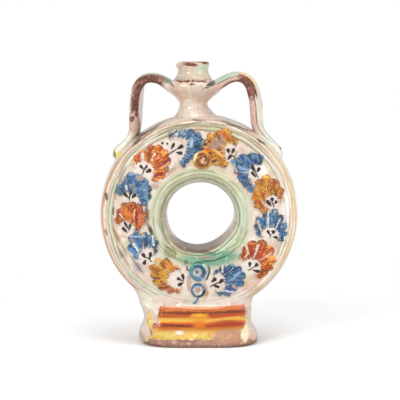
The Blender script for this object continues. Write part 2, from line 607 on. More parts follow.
def strapGlaze(side):
    tones = strapPaint[side]
    glaze = Glaze("strap_glaze_" + side)
    colour, specks = creamGround(glaze)
    outward, frontward = glaze.split(glaze.attribute("strap"))[1:]
    outer = glaze.ease(outward, 0.15, 0.6)
    arch = glaze.ease(glaze.z, 252.0, 262.0)
    colour = glaze.lay(colour, tones["leg"], 0.5)
    colour = glaze.lay(colour, tones["inner"], glaze.ease(outward, -0.1, -0.5) * 0.8)
    colour = glaze.lay(colour, tones["outer"], outer * arch * 0.9)
    ragged = (glaze.grain(3.2, 3, roughness=0.65) - 0.5) * 0.9
    edge = glaze.ease(frontward + ragged * 0.5, 0.28, 0.46)
    if side == "left":
        colour = glaze.lay(colour, "#77745F", outer * glaze.ease(glaze.x, -46.0, -36.0) * arch * 0.85)
        colour = glaze.lay(colour, "#9AA089", glaze.line((130.6, 134), (131.4, 122), 0.9, plane=-11) * 0.7)
        colour = glaze.lay(colour, "#57382A", glaze.line((138.6, 118), (139.2, 134), 1.0, plane=-11) * 0.8)
        colour = glaze.lay(colour, "#66705C", glaze.dab(166, 80.6, 8, 2.6, -24, plane=-11) * 0.8)
        mint = outer * glaze.ease(glaze.grain(10, 2), 0.45, 0.6) * (1 - arch)
        colour = glaze.lay(colour, "#DCE0C2", mint * 0.7)
        fade = glaze.z + (glaze.grain(6, 3, roughness=0.65) - 0.5) * 26.0
        worn = edge * glaze.ease(glaze.x, -32.0, -38.0) * glaze.ease(fade, 224.0, 229.0)
        covered = glaze.ease(outward + ragged * 0.3, 0.0, 0.26) * glaze.ease(glaze.z, 260.0, 246.0)
        worn = worn * (1 - covered * 0.8)
        pale = edge * glaze.ease(fade, 231.0, 226.0) * glaze.ease(glaze.z, 202.0, 214.0) * 0.75
        shadow = glaze.ease(glaze.z, 214.0, 203.0) * glaze.ease(outward, 0.2, -0.5)
        colour = glaze.lay(colour, "#8C6A58", shadow * glaze.ease(glaze.x, -66.0, -58.0) * 0.9)
        knot = glaze.dab(132, 119, 2.4, 3.2, -30, plane=-11)
    else:
        colour = glaze.lay(colour, "#A9BFA6", outer * glaze.ease(glaze.x, 36.0, 26.0) * arch * 0.8)
        honey = outer * glaze.ease(glaze.x, 38.0, 43.0) * glaze.ease(glaze.z, 248.0, 256.0)
        colour = glaze.lay(colour, "#F2D28E", honey)
        colour = glaze.lay(colour, "#D3DDC2", glaze.dab(270, 140, 6, 6, plane=-10) * 0.9)
        mint = outer * glaze.ease(glaze.grain(9, 2), 0.48, 0.6) * (1 - arch)
        colour = glaze.lay(colour, "#D5DBC4", mint * 0.8)
        fade = glaze.z + (glaze.grain(6, 3, roughness=0.65) - 0.5) * 20.0
        low = glaze.ease(ragged * 0.25 - outward, 0.1, 0.26) * glaze.ease(frontward, 0.0, 0.3)
        worn = glaze.lay(low * glaze.ease(glaze.x, 20.0, 26.0), edge, glaze.ease(glaze.x, 36.0, 41.0))
        worn = glaze.node("ShaderNodeSeparateColor", {}, [worn]) * glaze.ease(fade, 240.0, 246.0)
        rim = glaze.ease(abs(outward - 0.45 + ragged * 0.3), 0.16, 0.06) * glaze.ease(frontward, 0.3, 0.6)
        worn = worn + rim * glaze.ease(glaze.z, 196.0, 210.0) * 0.8
        pale = edge * glaze.ease(glaze.z, 202.0, 216.0) * glaze.ease(outward, 0.7, 0.1) * 0.9
        knot = glaze.dab(260.5, 140.6, 4.4, 0.9, -32, plane=-12) + glaze.dab(280.5, 148, 1.2, 1.6, plane=-8)
    colour = glaze.lay(colour, "#DEE1D0", glaze.ease(glaze.z, 218.0, 206.0) * 0.65)
    if side == "left":
        colour = glaze.lay(colour, "#E8D968", glaze.dab(117.8, 154.2, 2.6, 4.2, plane=-14) * 0.85)
        colour = glaze.lay(colour, "#4E3628", glaze.line((114.2, 150.6), (115.2, 158), 0.9, plane=-12) * 0.85)
        colour = glaze.lay(colour, "#4A2E20", glaze.line((139, 130), (135.6, 141.6), 1.1, plane=-11) * 0.8)
    under = glaze.ease(outward, -0.55, -0.85) * glaze.ease(frontward, 0.1, 0.5) * arch
    bare = glaze.node("ShaderNodeClamp", {}, [worn + knot])
    colour = glaze.lay(colour, tones["pale"], pale)
    colour = glaze.lay(colour, "#B7897A", pale * glaze.ease(glaze.grain(2.6, 2), 0.55, 0.66) * 0.9)
    colour = glaze.lay(colour, "#4A3328", under * 0.85)
    clay = glaze.lay(tones["clay"], "#99604F", glaze.ease(glaze.grain(6, 3), 0.5, 0.68) * 0.7)
    clay = glaze.lay(clay, "#CBA594", glaze.ease(glaze.grain(2.6, 3, roughness=0.65), 0.55, 0.68) * 0.8)
    clay = glaze.lay(clay, "#3F2219", glaze.ease(glaze.grain(3.4, 3), 0.54, 0.68) * 0.8)
    colour = glaze.lay(colour, clay, bare)
    height = glazeSkin(glaze, specks) - bare * 0.4 + glaze.grain(1.2, 2) * bare * 0.3
    return glaze.finish(colour, height, 0.3 + bare * 0.32, 0.95 - bare * 0.65)


# Foot: cream above, yellow below the moulded panel, bare terracotta at the edge it stands on.
def footGlaze():
    glaze = Glaze("foot_glaze")
    colour, specks = creamGround(glaze)
    front = glaze.ease(glaze.y, -24.0, -31.0) + glaze.ease(glaze.y, 24.0, 31.0)
    sway = (glaze.grain(9, 3) - 0.5) * 4.0
    level = glaze.z + sway
    colour = glaze.lay(colour, "#C5D2B4", glaze.line((131, 276), (141, 289), 3.0, plane=-28) * 0.8)
    colour = glaze.lay(colour, "#D5DBB8", glaze.line((141, 289), (149, 305), 3.0, plane=-28) * 0.8)
    colour = glaze.lay(colour, "#E6CDBE", glaze.ease(level, 34.0, 22.0) * 0.5)
    yellow = glaze.ease(level, 20.0, 15.0) * front
    yellow = yellow + glaze.dab(149.5, 322, 3.0, 10, plane=-33)
    yellow = yellow + glaze.dab(246, 322, 2.4, 9, plane=-33) * 0.6
    yellow = glaze.node("ShaderNodeClamp", {}, [yellow])
    yellowTone = glaze.lay("#EFCB6A", "#DDB04A", glaze.ease(glaze.grain(6, 3), 0.45, 0.62))
    yellowTone = glaze.lay(yellowTone, "#D9C96A", glaze.ease(glaze.grain(11, 2), 0.54, 0.64))
    yellowTone = glaze.lay(yellowTone, "#F7E7B4", glaze.ease(glaze.grain(3.5, 2), 0.58, 0.7))
    colour = glaze.lay(colour, yellowTone, yellow)
    colour = glaze.lay(colour, "#E4A53C", glaze.ease(abs(level - 16.4), 2.2, 1.0) * front * 0.8)
    colour = glaze.lay(colour, "#F0EAE0", glaze.dab(179.5, 333, 4.2, 2.2, plane=-35))
    colour = glaze.lay(colour, "#C4601C", glaze.dab(155, 326.6, 3.4, 2.4, plane=-33) * 0.9)
    colour = glaze.lay(colour, "#5E2C14", glaze.line((153.6, 324), (158, 324.2), 0.7, plane=-33) * 0.8)
    colour = glaze.lay(colour, "#FBF0CE", glaze.dab(245, 334, 4.6, 9, plane=-35))
    colour = glaze.lay(colour, "#E3CDBB", glaze.dab(145, 332, 6, 6, plane=-30))
    colour = glaze.lay(colour, "#C9A98C", glaze.dab(142, 336, 3, 5, 30, plane=-20) * 0.8)
    colour = glaze.lay(colour, "#E9B9A8", glaze.dab(252, 337, 4, 4, plane=-26) * 0.8)
    outer = glaze.ease(glaze.x, -46.0, -56.0) * 6.0 + glaze.ease(glaze.x, 47.0, 55.0) * 3.0
    bare = glaze.ease(glaze.z + outer + (glaze.grain(7, 4, roughness=0.6) - 0.5) * 7.0, 9.4, 7.4)
    bare = bare + glaze.dab(228, 337, 15, 9.5, 4, plane=-35)
    bare = glaze.node("ShaderNodeClamp", {}, [bare - glaze.dab(245, 336, 3.6, 8, plane=-35) * 1.2
                                              - glaze.dab(145, 331, 6, 5, plane=-30)])
    clay = glaze.lay("#BE917F", "#A67C6E", glaze.ease(glaze.grain(5, 4, roughness=0.65), 0.44, 0.6))
    clay = glaze.lay(clay, "#E2BFA9", glaze.ease(glaze.grain(3.4, 3), 0.56, 0.68))
    clay = glaze.lay(clay, "#7E5546", glaze.ease(glaze.grain(2.3, 3), 0.6, 0.7) * 0.8)
    clay = glaze.lay(clay, "#D3A07C", glaze.dab(228, 335, 16, 8, 4, 0.5, -35) * 0.6)
    clay = glaze.lay(clay, "#94705F", glaze.ease(glaze.z, 5.0, 1.5) * 0.7)
    clay = glaze.lay(clay, "#8F6A6A", glaze.dab(187, 339, 9, 3, plane=-35) * 0.8)
    colour = glaze.lay(colour, clay, bare)
    colour = glaze.lay(colour, "#8A6A55", glaze.line((150, 329), (152, 337), 0.9, plane=-35) * 0.8)
    height = glazeSkin(glaze, specks) - bare * 0.35 + glaze.grain(1.4, 3) * bare * 0.35
    return glaze.finish(colour, height, 0.3 + bare * 0.42, 0.95 - bare * 0.85)


# Panel: level bands of orange, rust and yellow, with the brush's marks over them.
panelBands = [
    (15.5, "#E6B04A"), (17.4, "#EBA43A"), (18.8, "#D87822"), (20.4, "#C45A14"), (21.6, "#742A0A"),
    (22.6, "#C04E10"), (24.2, "#D46014"), (25.4, "#EAAE3A"), (27.4, "#F3C252"), (28.8, "#EC9C38"),
    (30.2, "#CC6016"), (32.2, "#BE5014"), (33.4, "#68260A"), (34.6, "#BC501A"), (37.2, "#D97436"),
    (39.6, "#C4622C"), (41, "#EFC09A"),
]
panelMarks = [
    ((228, 323.6, 16, 3.4, 2, 0.5, -36), "#A2360E", 0.85),
    ((199.5, 317.8, 9.5, 4.2, 0, 0.4, -36), "#F2A826", 0.95),
    ((199.5, 325.5, 6, 4.6, 0, 0.6, -36), "#DA7414", 0.85),
    ((226, 315.2, 18, 1.4, 3, 0.35, -36), "#BF3F14", 0.7),
    (((208, 313), (244, 310.6), 1.2, 0.5, -36), "#6B3A20", 0.8),
    (((166, 312.4), (207, 312.8), 1.1, 0.5, -36), "#6E2408", 0.7),
    (((158, 324.3), (190, 326.6), 1.1, 0.5, -36), "#6E2408", 0.8),
    ((244.5, 307.5, 4, 2.4, 25, 0.35, -36), "#B4685C", 0.8),
    ((200, 307.8, 20, 1.4, 0, 0.35, -36), "#EDA878", 0.7), ((162, 309, 4, 3, 0, 0.35, -36), "#B9551F", 0.6),
]


def panelGlaze():
    glaze = Glaze("panel_glaze")
    level = glaze.attribute("level", "Fac") + (glaze.streaks(7, (0.25, 1, 1), 3) - 0.5) * 2.2
    colour = glaze.bands(level, (panelBands[0][0], panelBands[-1][0]), panelBands)
    streak = glaze.streaks(3.2, (0.12, 0.3, 1), 3)
    colour = glaze.lay(colour, "#7E2E08", glaze.ease(streak, 0.55, 0.72) * 0.6)
    colour = glaze.lay(colour, "#EC9A44", glaze.ease(streak, 0.42, 0.24) * 0.45)
    for place, tone, strength in panelMarks:
        colour = glaze.mark(colour, place, tone, strength)
    tips = glaze.ease(abs(glaze.x - 2.4) + (glaze.grain(3.4, 3) - 0.5) * 9.0, 41.4, 45.4)
    colour = glaze.lay(colour, "#E6CDB4", tips * 0.8)
    height = glaze.grain(6, 3) * 0.6 + glaze.grain(1.6, 2) * 0.12 + streak * 0.35
    return glaze.finish(colour, height, 0.28, 0.95)


# Flowers: "brush" holds how far out on the petal a point lies, how far across it and how high its
# ridge stands there; "stroke" holds the strand it belongs to, a number of its own and its tone.
petalTones = {
    "blue": [(0.0, "#101A26"), (0.2, "#1C3452"), (0.36, "#2D547A"), (0.52, "#436F92"), (0.68, "#6A8AA2"),
             (0.84, "#98ACB6"), (1.0, "#D8DAD6")],
    "orange": [(0.0, "#3A1406"), (0.2, "#702604"), (0.36, "#A44204"), (0.52, "#C86008"), (0.66, "#DE8420"),
               (0.82, "#EBB05C"), (1.0, "#F4DAB4")],
    "golden": [(0.0, "#472208"), (0.2, "#80440C"), (0.36, "#AC6812"), (0.52, "#C6831E"), (0.68, "#D8A03C"),
               (0.84, "#E8C274"), (1.0, "#F5E4BC")],
}
petalWear = {"blue": 0.85, "orange": 0.42, "golden": 0.52}


def petalGlaze(name):
    glaze = Glaze(name + "_glaze")
    out, across, ridge = glaze.split(glaze.attribute("brush"))
    strand, seed, lean = glaze.split(glaze.attribute("stroke"))
    tint = glaze.attribute("tint", "Color")
    amount = Wire(glaze, tint.socket.node.outputs["Alpha"])
    hairs = glaze.grain(1.0, 3, glaze.combine(out * 1.4, strand, seed * 7.0))
    patches = glaze.grain(3.6, 4, roughness=0.66)
    tone = 0.33 + ridge * 0.28 + lean + (hairs - 0.5) * 0.9 + (patches - 0.5) * 1.5
    tone = tone - glaze.ease(out, 0.9, 1.0) * 0.15
    colour = glaze.colours(petalTones[name], tone)
    breaks = glaze.ease(glaze.grain(6, 2), 0.46, 0.6)
    tooth = glaze.grain(1.0, 1, glaze.combine(out * 0.4, strand * 0.42, seed * 3.0))
    teeth = glaze.ease(out - (tooth - 0.46) * 1.3, 0.04, -0.05)
    pale = glaze.ease(across, 0.86, 1.0) * breaks * 0.75 + teeth * 1.1 + glaze.ease(out, 0.97, 1.0) * 0.3
    worn = glaze.ease(glaze.grain(2.4, 4, roughness=0.75), 0.62, 0.69)
    dark = glaze.ease(glaze.grain(1.7, 3, roughness=0.7), 0.58, 0.68)
    varied = glaze.lay(tint, "#1C120C", glaze.ease(patches, 0.46, 0.3) * 0.3)
    varied = glaze.lay(varied, "#F5ECE2", glaze.ease(hairs, 0.6, 0.76) * 0.3)
    colour = glaze.lay(colour, varied, amount)
    colour = glaze.lay(colour, petalTones[name][0][1], dark * 0.45)
    light = glaze.node("ShaderNodeClamp", {}, [(pale + worn * 0.6) * (1 - amount * 0.6)])
    colour = glaze.lay(colour, "#E7D9CC", light * petalWear[name])
    height = patches * 0.9 + hairs * 0.5 + glaze.grain(1.2, 3) * 0.3
    return glaze.finish(colour, height, 0.3, 0.75)


glazes = {
    "ringFace": ringGlaze("face", 39, 84.3), "ringBack": ringGlaze("back", 39, 84.3, False),
    "ringHoop": ringGlaze("hoop", 84.2, 99), "ringWall": ringGlaze("wall", 34, 39.6),
    "neck": neckGlaze(), "strapLeft": strapGlaze("left"), "strapRight": strapGlaze("right"),
    "foot": footGlaze(), "panel": panelGlaze(),
    "blue": petalGlaze("blue"), "orange": petalGlaze("orange"), "golden": petalGlaze("golden"),
}
print("glazes mixed:", len(glazes))

# Ring

ringForm = {
    "bead": [(39.0, -29.1), (39.6, -29.6), (40.6, -30.9), (41.8, -31.4), (42.9, -31.1), (43.6, -31.0),
             (45.0, -31.6), (46.4, -31.4), (47.5, -30.7), (48.2, -30.2), (49.0, -30.4), (50.4, -30.3),
             (53.0, -29.9)],
    "face": [(56, -29.8), (60, -29.7), (64, -29.7), (68, -29.7), (72, -29.8), (76, -29.9), (80, -30.0),
             (82.5, -30.0), (84.3, -29.95), (84.3, -29.5)],
    "ridges": [(84.05, -29.5), (84.05, -30.0), (85.2, -30.2), (86.4, -30.8), (87.5, -30.4), (88.3, -29.9),
               (89.1, -30.3), (90.3, -30.9), (91.4, -30.4), (92.2, -29.5)],
    "ridgeBand": (84, 93),
    "ridgeFront": -29,
    "plainDepth": -29.9,
    "plainAbove": (50, 62),
    "hoop": 92,
    "bulge": 6.5,
    "halfDepth": 30,
}


# The hoop's outer radius at a depth.
def bulgeRadius(depth):
    swell = math.sqrt(max(0, 1 - (depth / ringForm["halfDepth"]) ** 2))
    return ringForm["hoop"] + ringForm["bulge"] * swell


def mirrored(points):
    return [(radius, -depth) for radius, depth in reversed(points)]


# Smooths the front ridges away where the foot joins the ring.
def levelRidges(bm):
    inner, outer = ringForm["ridgeBand"]
    for vert in bm.verts:
        radius = math.hypot(vert.co.x, vert.co.z - ringMiddle)
        if inner < radius < outer and vert.co.y < ringForm["ridgeFront"]:
            plain = 1 - ease(vert.co.z, *ringForm["plainAbove"])
            vert.co.y = blendValues(vert.co.y, ringForm["plainDepth"], plain)


def makeRing():
    bead, face, ridges = ringForm["bead"], ringForm["face"], ringForm["ridges"]
    bm = bmesh.new()
    sprig = bm.verts.layers.float.new("sprig")
    turnRing(bm, bead + face + [(84.2, -25), (39.3, -25)])
    patches = [(*spot(across, down), wide, high) for across, down, wide, high in calyxes]
    for vert in bm.verts:
        for x, z, wide, high in patches:
            far = math.hypot((vert.co.x - x) / wide, (vert.co.z - z) / high)
            vert[sprig] = max(vert[sprig], clamp(1.36 - far))
    finishPiece(bm, "ring_face_front", glazes["ringFace"], "ring_front_face")

    bm = bmesh.new()
    turnRing(bm, [(39.3, 25), (84.2, 25)] + mirrored(bead + face))
    finishPiece(bm, "ring_face_back", glazes["ringBack"], "ring_back_face")

    depths = [-28, -25, -21, -16.5, -12, -7, -2, 2, 7, 12, 16.5, 21, 25, 28]
    bulge = [(bulgeRadius(depth), depth) for depth in depths]
    bm = bmesh.new()
    turnRing(bm, ridges + bulge + mirrored(ridges) + [(84.2, 24), (91.5, 20), (91.5, -20), (84.2, -24)], 160)
    levelRidges(bm)
    finishPiece(bm, "ring_hoop", glazes["ringHoop"], "ring_outer_hoop")

    wall = [(39.3, -28.8), (39.1, -29.3), (38.4, -29.6), (37.7, -29.0), (36.6, -27), (35.4, -24), (34.8, -20),
            (34.5, -12), (34.5, -4)]
    bm = bmesh.new()
    turnRing(bm, wall + mirrored(wall) + [(39.6, 22), (39.6, -22)])
    finishPiece(bm, "ring_hole_wall", glazes["ringWall"], "ring_hole_tube")


makeRing()
print("ring turned")

# Foot

# By height: left side, right side, half depth and corner radius. The first rows are the hollow underneath.
footForm = [
    (30, (-46, 46, 25, 8)), (10, (-47, 47, 26, 8)), (1.2, (-51, 51, 29.5, 24)),
    (0, (-54.5, 54.5, 33.4, 31)), (0.6, (-56.6, 57.2, 35.0, 33)), (3.2, (-58.8, 59.0, 36.0, 32)),
    (7, (-60.2, 58.8, 35.9, 30)), (11, (-60.0, 56.8, 35.2, 26)), (15, (-58.0, 53.8, 34.4, 20)),
    (19, (-55.2, 51.8, 33.6, 16)), (24, (-54.0, 51.0, 33.1, 14)), (30, (-54.7, 51.6, 33.0, 13)),
    (35, (-55.8, 51.6, 33.0, 12)), (38.4, (-57.4, 51.8, 32.8, 12)), (40.2, (-58.6, 52.0, 31.4, 11)),
    (41.6, (-59.2, 52.4, 29.9, 10)), (45, (-59.8, 52.8, 29.6, 10)), (49, (-61.0, 54.6, 29.5, 10)),
    (53, (-63.0, 57.4, 29.4, 10)), (58, (-66.8, 62.4, 28.6, 10)), (63, (-70.4, 67.0, 26.0, 10)),
    (68, (-68, 66, 22.0, 9)),
]


# A point of a rectangle with round corners, at a share of the way round from its front left.
def roundedOutline(around, left, right, halfDepth, corner):
    halfWidth = (right - left) / 2
    flatX, flatY = halfWidth - corner, halfDepth - corner
    quarter = math.pi / 2 * corner
    run = 4 * (flatX + flatY) + 4 * quarter
    place = (around * run) % run
    sides = [(0, -1, flatX), (1, 0, flatY), (0, 1, flatX), (-1, 0, flatY)]
    for i, (sx, sy, flat) in enumerate(sides):
        if place < 2 * flat:
            slide = place - flat
            x = (left + right) / 2 + (sx * halfWidth if sx else -sy * slide)
            y = sy * halfDepth if sy else sx * slide
            return x, y
        place -= 2 * flat
        if place < quarter:
            turn = place / corner + i * math.pi / 2 - math.pi / 2
            cx = (left + right) / 2 + flatX * (1 if i in (0, 1) else -1)
            cy = flatY * (-1 if i in (0, 3) else 1)
            return cx + corner * math.cos(turn), cy + corner * math.sin(turn)
        place -= quarter
    return left, -halfDepth


def makeFoot():
    rows = len(footForm) - 1

    def shape(around, along):
        height, sides = footForm[round(along * rows)]
        x, y = roundedOutline(around, *sides)
        return Vector((x, y, height))

    bm = bmesh.new()
    wrapTube(bm, 96, rows, shape)
    finishPiece(bm, "foot", glazes["foot"], "foot_stand")


makeFoot()

panelForm = {
    "roll": [(16.4, 31.5), (16.6, 33.9), (17.6, 35.0), (19.4, 35.8), (21.0, 35.7), (21.9, 35.2),
             (22.8, 35.5), (24.0, 34.7), (25.2, 33.9), (27.4, 33.7), (28.6, 34.1), (29.8, 35.0),
             (31.4, 35.6), (32.8, 35.3), (33.6, 34.6), (34.6, 35.4), (36.6, 36.0), (38.6, 35.7),
             (40.0, 34.6), (40.6, 33.0), (40.4, 31.5)],
    "back": 31.5,
    "middle": 28,
    "sag": 0.9,
    "rise": 1.7,
    "segments": 48,
}


def makePanel(name, node, side, left, right):
    form = panelForm
    bm = bmesh.new()
    levels = bm.verts.layers.float.new("level")
    verts = [bm.verts.new((0, depth, height)) for height, depth in form["roll"]]
    ring = [bm.edges.new(pair) for pair in zip(verts, verts[1:] + verts[:1])]
    rows = [list(verts)]
    for _ in range(form["segments"]):
        made = bmesh.ops.extrude_edge_only(bm, edges=ring)["geom"]
        ring = [item for item in made if isinstance(item, bmesh.types.BMEdge)
                and all(end in made for end in item.verts)]
        rows.append([item for item in made if isinstance(item, bmesh.types.BMVert)])
    for i, row in enumerate(rows):
        share = i / form["segments"]
        x = blendValues(left, right, share)
        ends = ease(min(share, 1 - share), -0.01, 0.04)
        lift = form["rise"] * ease(share, 0.55, 1.0) - form["sag"] * (1 - (2 * share - 1) ** 2)
        for vert in row:
            level = vert.co.z
            vert[levels] = level
            out = form["back"] + (vert.co.y - form["back"]) * (0.4 + 0.6 * ends)
            wave = 0.5 * noise.noise(Vector((x * 0.09, level * 0.2, 3.0 + side)))
            top = ease(level, 14, 40)
            shift = (level - form["middle"]) * blendValues(0.13, 0.2, share)
            shift += 0.7 * noise.noise(Vector((level * 0.5, share * 9, 7)))
            height = level + lift * blendValues(0.55, 1.0, top) + wave
            vert.co = Vector((x + shift, side * (out + wave), height))
    closeEnds(bm)
    finishPiece(bm, name, glazes["panel"], node)


makePanel("panel_front", "foot_front_panel", -1, *(spot(x, 316, -35)[0] for x in (157.5, 246.5)))
makePanel("panel_back", "foot_back_panel", 1, -44, 44)
print("foot and panels made")

# Neck and spout

# By height: middle, half width and half depth.
neckForm = [
    (208, (-1.0, 33, 25)), (214, (-1.6, 32, 26.5)), (218, (-2.4, 28.6, 26)), (220.5, (-2.8, 25.6, 23.8)),
    (223, (-3.0, 22.4, 21.0)), (226, (-3.4, 19.0, 18)), (229, (-3.8, 17.2, 16.6)),
    (232, (-4.8, 15.0, 14.8)), (235.5, (-5.5, 13.6, 13.6)), (238.5, (-5.6, 14.2, 14)),
    (241, (-5.3, 16.4, 15.4)), (244, (-5.1, 19.4, 17.6)), (247, (-5.0, 23.0, 20.2)),
    (250, (-5.1, 26.4, 22.2)), (253, (-5.4, 28.6, 23.4)), (255.6, (-5.6, 28.0, 23.5)),
    (258, (-5.8, 25.2, 22.6)), (260, (-5.8, 21.6, 20.8)), (261.4, (-5.8, 19.0, 18.8)),
    (261.6, (-5.8, 16, 16)),
]
spoutForm = [
    (240, (-6, 7.5, 7.5)), (250, (-6, 8.6, 8.6)), (258, (-6, 10.4, 10.4)), (272, (-6, 10.8, 10.8)),
    (276.5, (-6.0, 11.4, 11.4)), (278.4, (-6.1, 12.8, 12.8)), (279.0, (-6.2, 14.6, 14.4)),
    (278.4, (-6.3, 16.0, 15.8)), (277.0, (-6.3, 16.6, 16.4)), (275.2, (-6.2, 16.5, 16.3)),
    (273.2, (-6.0, 15.6, 15.6)), (271, (-5.8, 14.9, 15)), (268.8, (-5.7, 14.9, 15)),
    (266.4, (-5.7, 15.6, 15.8)), (264.2, (-5.7, 17.0, 17)), (262.6, (-5.7, 18.2, 18)),
    (261.4, (-5.8, 18.5, 18.4)), (260.4, (-5.8, 17.2, 17.2)), (259.6, (-5.8, 12.6, 12.6)),
]


def makeTurned(name, node, form, sides, uneven):
    rows = len(form) - 1

    def shape(around, along):
        height, (middle, halfWidth, halfDepth) = form[round(along * rows)]
        turn = 2 * math.pi * around
        x, y = middle + halfWidth * math.cos(turn), halfDepth * math.sin(turn)
        return Vector((x, y, height + uneven(x, y, height)))

    bm = bmesh.new()
    wrapTube(bm, sides, rows, shape)
    finishPiece(bm, name, glazes["neck"], node, 2)


def throwingWaves(x, y, height):
    return 0.25 * noise.noise(Vector((x, y, height)) * 0.12)


def chippedRim(x, y, height):
    chip = -2.4 * ease(x, -14.5, -21.5) * ease(y, 10, -4)
    return (chip + 0.5 * noise.noise(Vector((x, y, 0)) * 0.22)) * ease(height, 271, 278)


makeTurned("neck", "neck", neckForm, 64, throwingWaves)
makeTurned("spout", "spout", spoutForm, 64, chippedRim)
print("neck and spout thrown")

# Handles

# Middle lines by spots of the front view on the plane of the ring's middle, with half thickness,
# half width front to back, and lean towards the front in degrees.
strapForm = {
    "left": [((179, 90.5), (6.4, 14, 6)), ((171, 86.4), (5.8, 12.4, 7)), ((164.4, 81.8), (4.8, 11.6, 8)),
             ((158, 78.7), (4.3, 11, 8)), ((151, 77.7), (4.3, 11, 8)), ((144.8, 79.0), (4.5, 11, 8)),
             ((140.4, 83.0), (5.2, 11, 0)), ((138.2, 89), (5.3, 11, -14)), ((137.0, 96), (5.1, 11, -20)),
             ((136.4, 104), (5.0, 11, -21)), ((136.0, 113), (4.9, 11, -20)), ((135.5, 122), (4.9, 11, -19)),
             ((134.6, 131), (4.7, 11.2, -14)), ((131.4, 138.4), (4.4, 12, -8)),
             ((125.6, 145.0), (4.9, 13.4, -3)), ((119.4, 151), (6.0, 14.2, 0)),
             ((116.6, 158), (4.8, 14.4, 0))],
    "right": [((208, 90.5), (6.4, 14, 6)), ((215, 86.6), (5.8, 12.4, 8)), ((222.4, 81.8), (4.8, 11.6, 9)),
              ((229.4, 78.2), (4.2, 11, 10)), ((237, 76.6), (4.2, 11, 10)), ((244.4, 78.4), (4.4, 11, 12)),
              ((249.8, 83.2), (5.2, 11, 15)), ((252.9, 90), (5.2, 11, 18)), ((254.8, 97.6), (5.1, 11, 20)),
              ((256.2, 106), (5.1, 11, 21)), ((256.7, 115), (5.1, 11, 20)), ((257.2, 124), (5.0, 11, 17)),
              ((260.0, 131.6), (4.9, 11.6, 11)), ((265.2, 138.4), (4.8, 12.6, 6)),
              ((271.4, 145.0), (5.0, 13.6, 3)), ((276.8, 151.4), (5.6, 14.2, 0)),
              ((278.4, 158), (4.8, 14.4, 0))],
}
strapSection = {"sides": 28, "rows": 72, "swell": 0.09, "swellSize": 0.08, "flatter": 0.72, "squarer": 0.8}


def makeStrap(side, glaze, node):
    stops, form = strapForm[side], strapSection
    away = -1 if side == "left" else 1
    where, direction = pathThrough([flatSpot(*place, 0) for place, values in stops])
    sizes = [(i / (len(stops) - 1), values) for i, (place, values) in enumerate(stops)]
    bm = bmesh.new()
    marks = bm.verts.layers.float_vector.new("strap")

    def shape(around, along):
        turn = 2 * math.pi * around
        ahead = direction(along)
        outward = Vector((-away * ahead.z, 0, away * ahead.x))
        halfThick, halfDepth, lean = alongStops(sizes, along)
        lean = math.radians(lean)
        front = Vector((0, -1, 0))
        up = outward * math.cos(lean) + front * math.sin(lean)
        wide = front * math.cos(lean) - outward * math.sin(lean)
        swell = 1 + form["swell"] * noise.noise(where(along) * form["swellSize"])
        across = math.copysign(abs(math.cos(turn)) ** form["flatter"], math.cos(turn)) * halfThick * swell
        deep = math.copysign(abs(math.sin(turn)) ** form["squarer"], math.sin(turn)) * halfDepth
        return where(along) + up * across + wide * deep

    points = gridPoints(bm, form["sides"], form["rows"])
    for vert, around, along in points:
        turn = 2 * math.pi * around
        vert[marks] = (along, math.cos(turn), math.sin(turn))
        vert.co = shape(around, along)
    weldPoints(bm, points, weld["seam"])
    closeEnds(bm)
    finishPiece(bm, "strap_" + side, glaze, node, 1, False)


makeStrap("left", glazes["strapLeft"], "handle_left")
makeStrap("right", glazes["strapRight"], "handle_right")
print("straps pulled")

# Flowers

# What a petal's glaze reads at each point.
def paintLayers(bm):
    return (bm.verts.layers.float_vector.get("brush") or bm.verts.layers.float_vector.new("brush"),
            bm.verts.layers.float_vector.get("stroke") or bm.verts.layers.float_vector.new("stroke"),
            bm.verts.layers.float_color.get("tint") or bm.verts.layers.float_color.new("tint"))


# Falls from 1 to 0 like a quarter circle, from a share to 1.
def roundOff(share, start):
    return math.sqrt(clamp(1 - (max(0.0, share - start) / (1 - start)) ** 2))


strokeForm = {"sides": 12, "rows": 14, "heelEnd": 0.16, "tipStart": 0.74, "fray": 0.22, "under": 0.8}


# One raised stroke of glaze on the ring's face, along a path that begins at its heel.
def layStroke(bm, path, halfWidth, height, tint, seed, heel, plane=facePlane):
    form = strokeForm
    brush, stroke, tints = paintLayers(bm)
    where, direction = pathThrough(path)
    points = gridPoints(bm, form["sides"], form["rows"])
    for vert, around, along in points:
        turn = 2 * math.pi * around
        rounding = roundOff(1 - along, 1 - form["heelEnd"]) * roundOff(along, form["tipStart"])
        place = where(along)
        edge = Vector((seed * 9, math.copysign(4, math.cos(turn)), 0))
        ragged = 1 + form["fray"] * noise.noise(place * 0.55 + edge)
        width = halfWidth * blendValues(heel, 1, ease(along, 0.0, 0.6)) * rounding * ragged
        side = direction(along).cross(Vector((0, 1, 0)))
        lift = (height * rounding if math.sin(turn) > 0 else form["under"]) * math.sin(turn)
        vert.co = place + side * (width * math.cos(turn)) + Vector((0, plane - lift, 0))
        vert[brush] = (0.5, 0.0, 0.6)
        vert[stroke] = (math.cos(turn) * 2 + seed * 5, seed, 0.0)
        vert[tints] = shade(tint)
    weldPoints(bm, points, weld["seam"])


# Colour and strength that a row of painted dabs leaves at a place.
def paintAt(place, dabs):
    colour, strength = Vector((0, 0, 0)), 0.0
    for start, end, halfWidth, tone in dabs:
        along = end - start
        share = clamp((place - start).dot(along) / max(along.length_squared, 1e-6))
        far = (place - start - along * share).length + 0.9 * noise.noise(place * 0.9)
        cover = 0.92 * (1 - ease(far, halfWidth * 0.75, halfWidth * 1.3 + 0.3))
        if cover > 0:
            colour = tone if strength == 0 else colour.lerp(tone, cover)
            strength = strength + (1 - strength) * cover
    return colour, strength


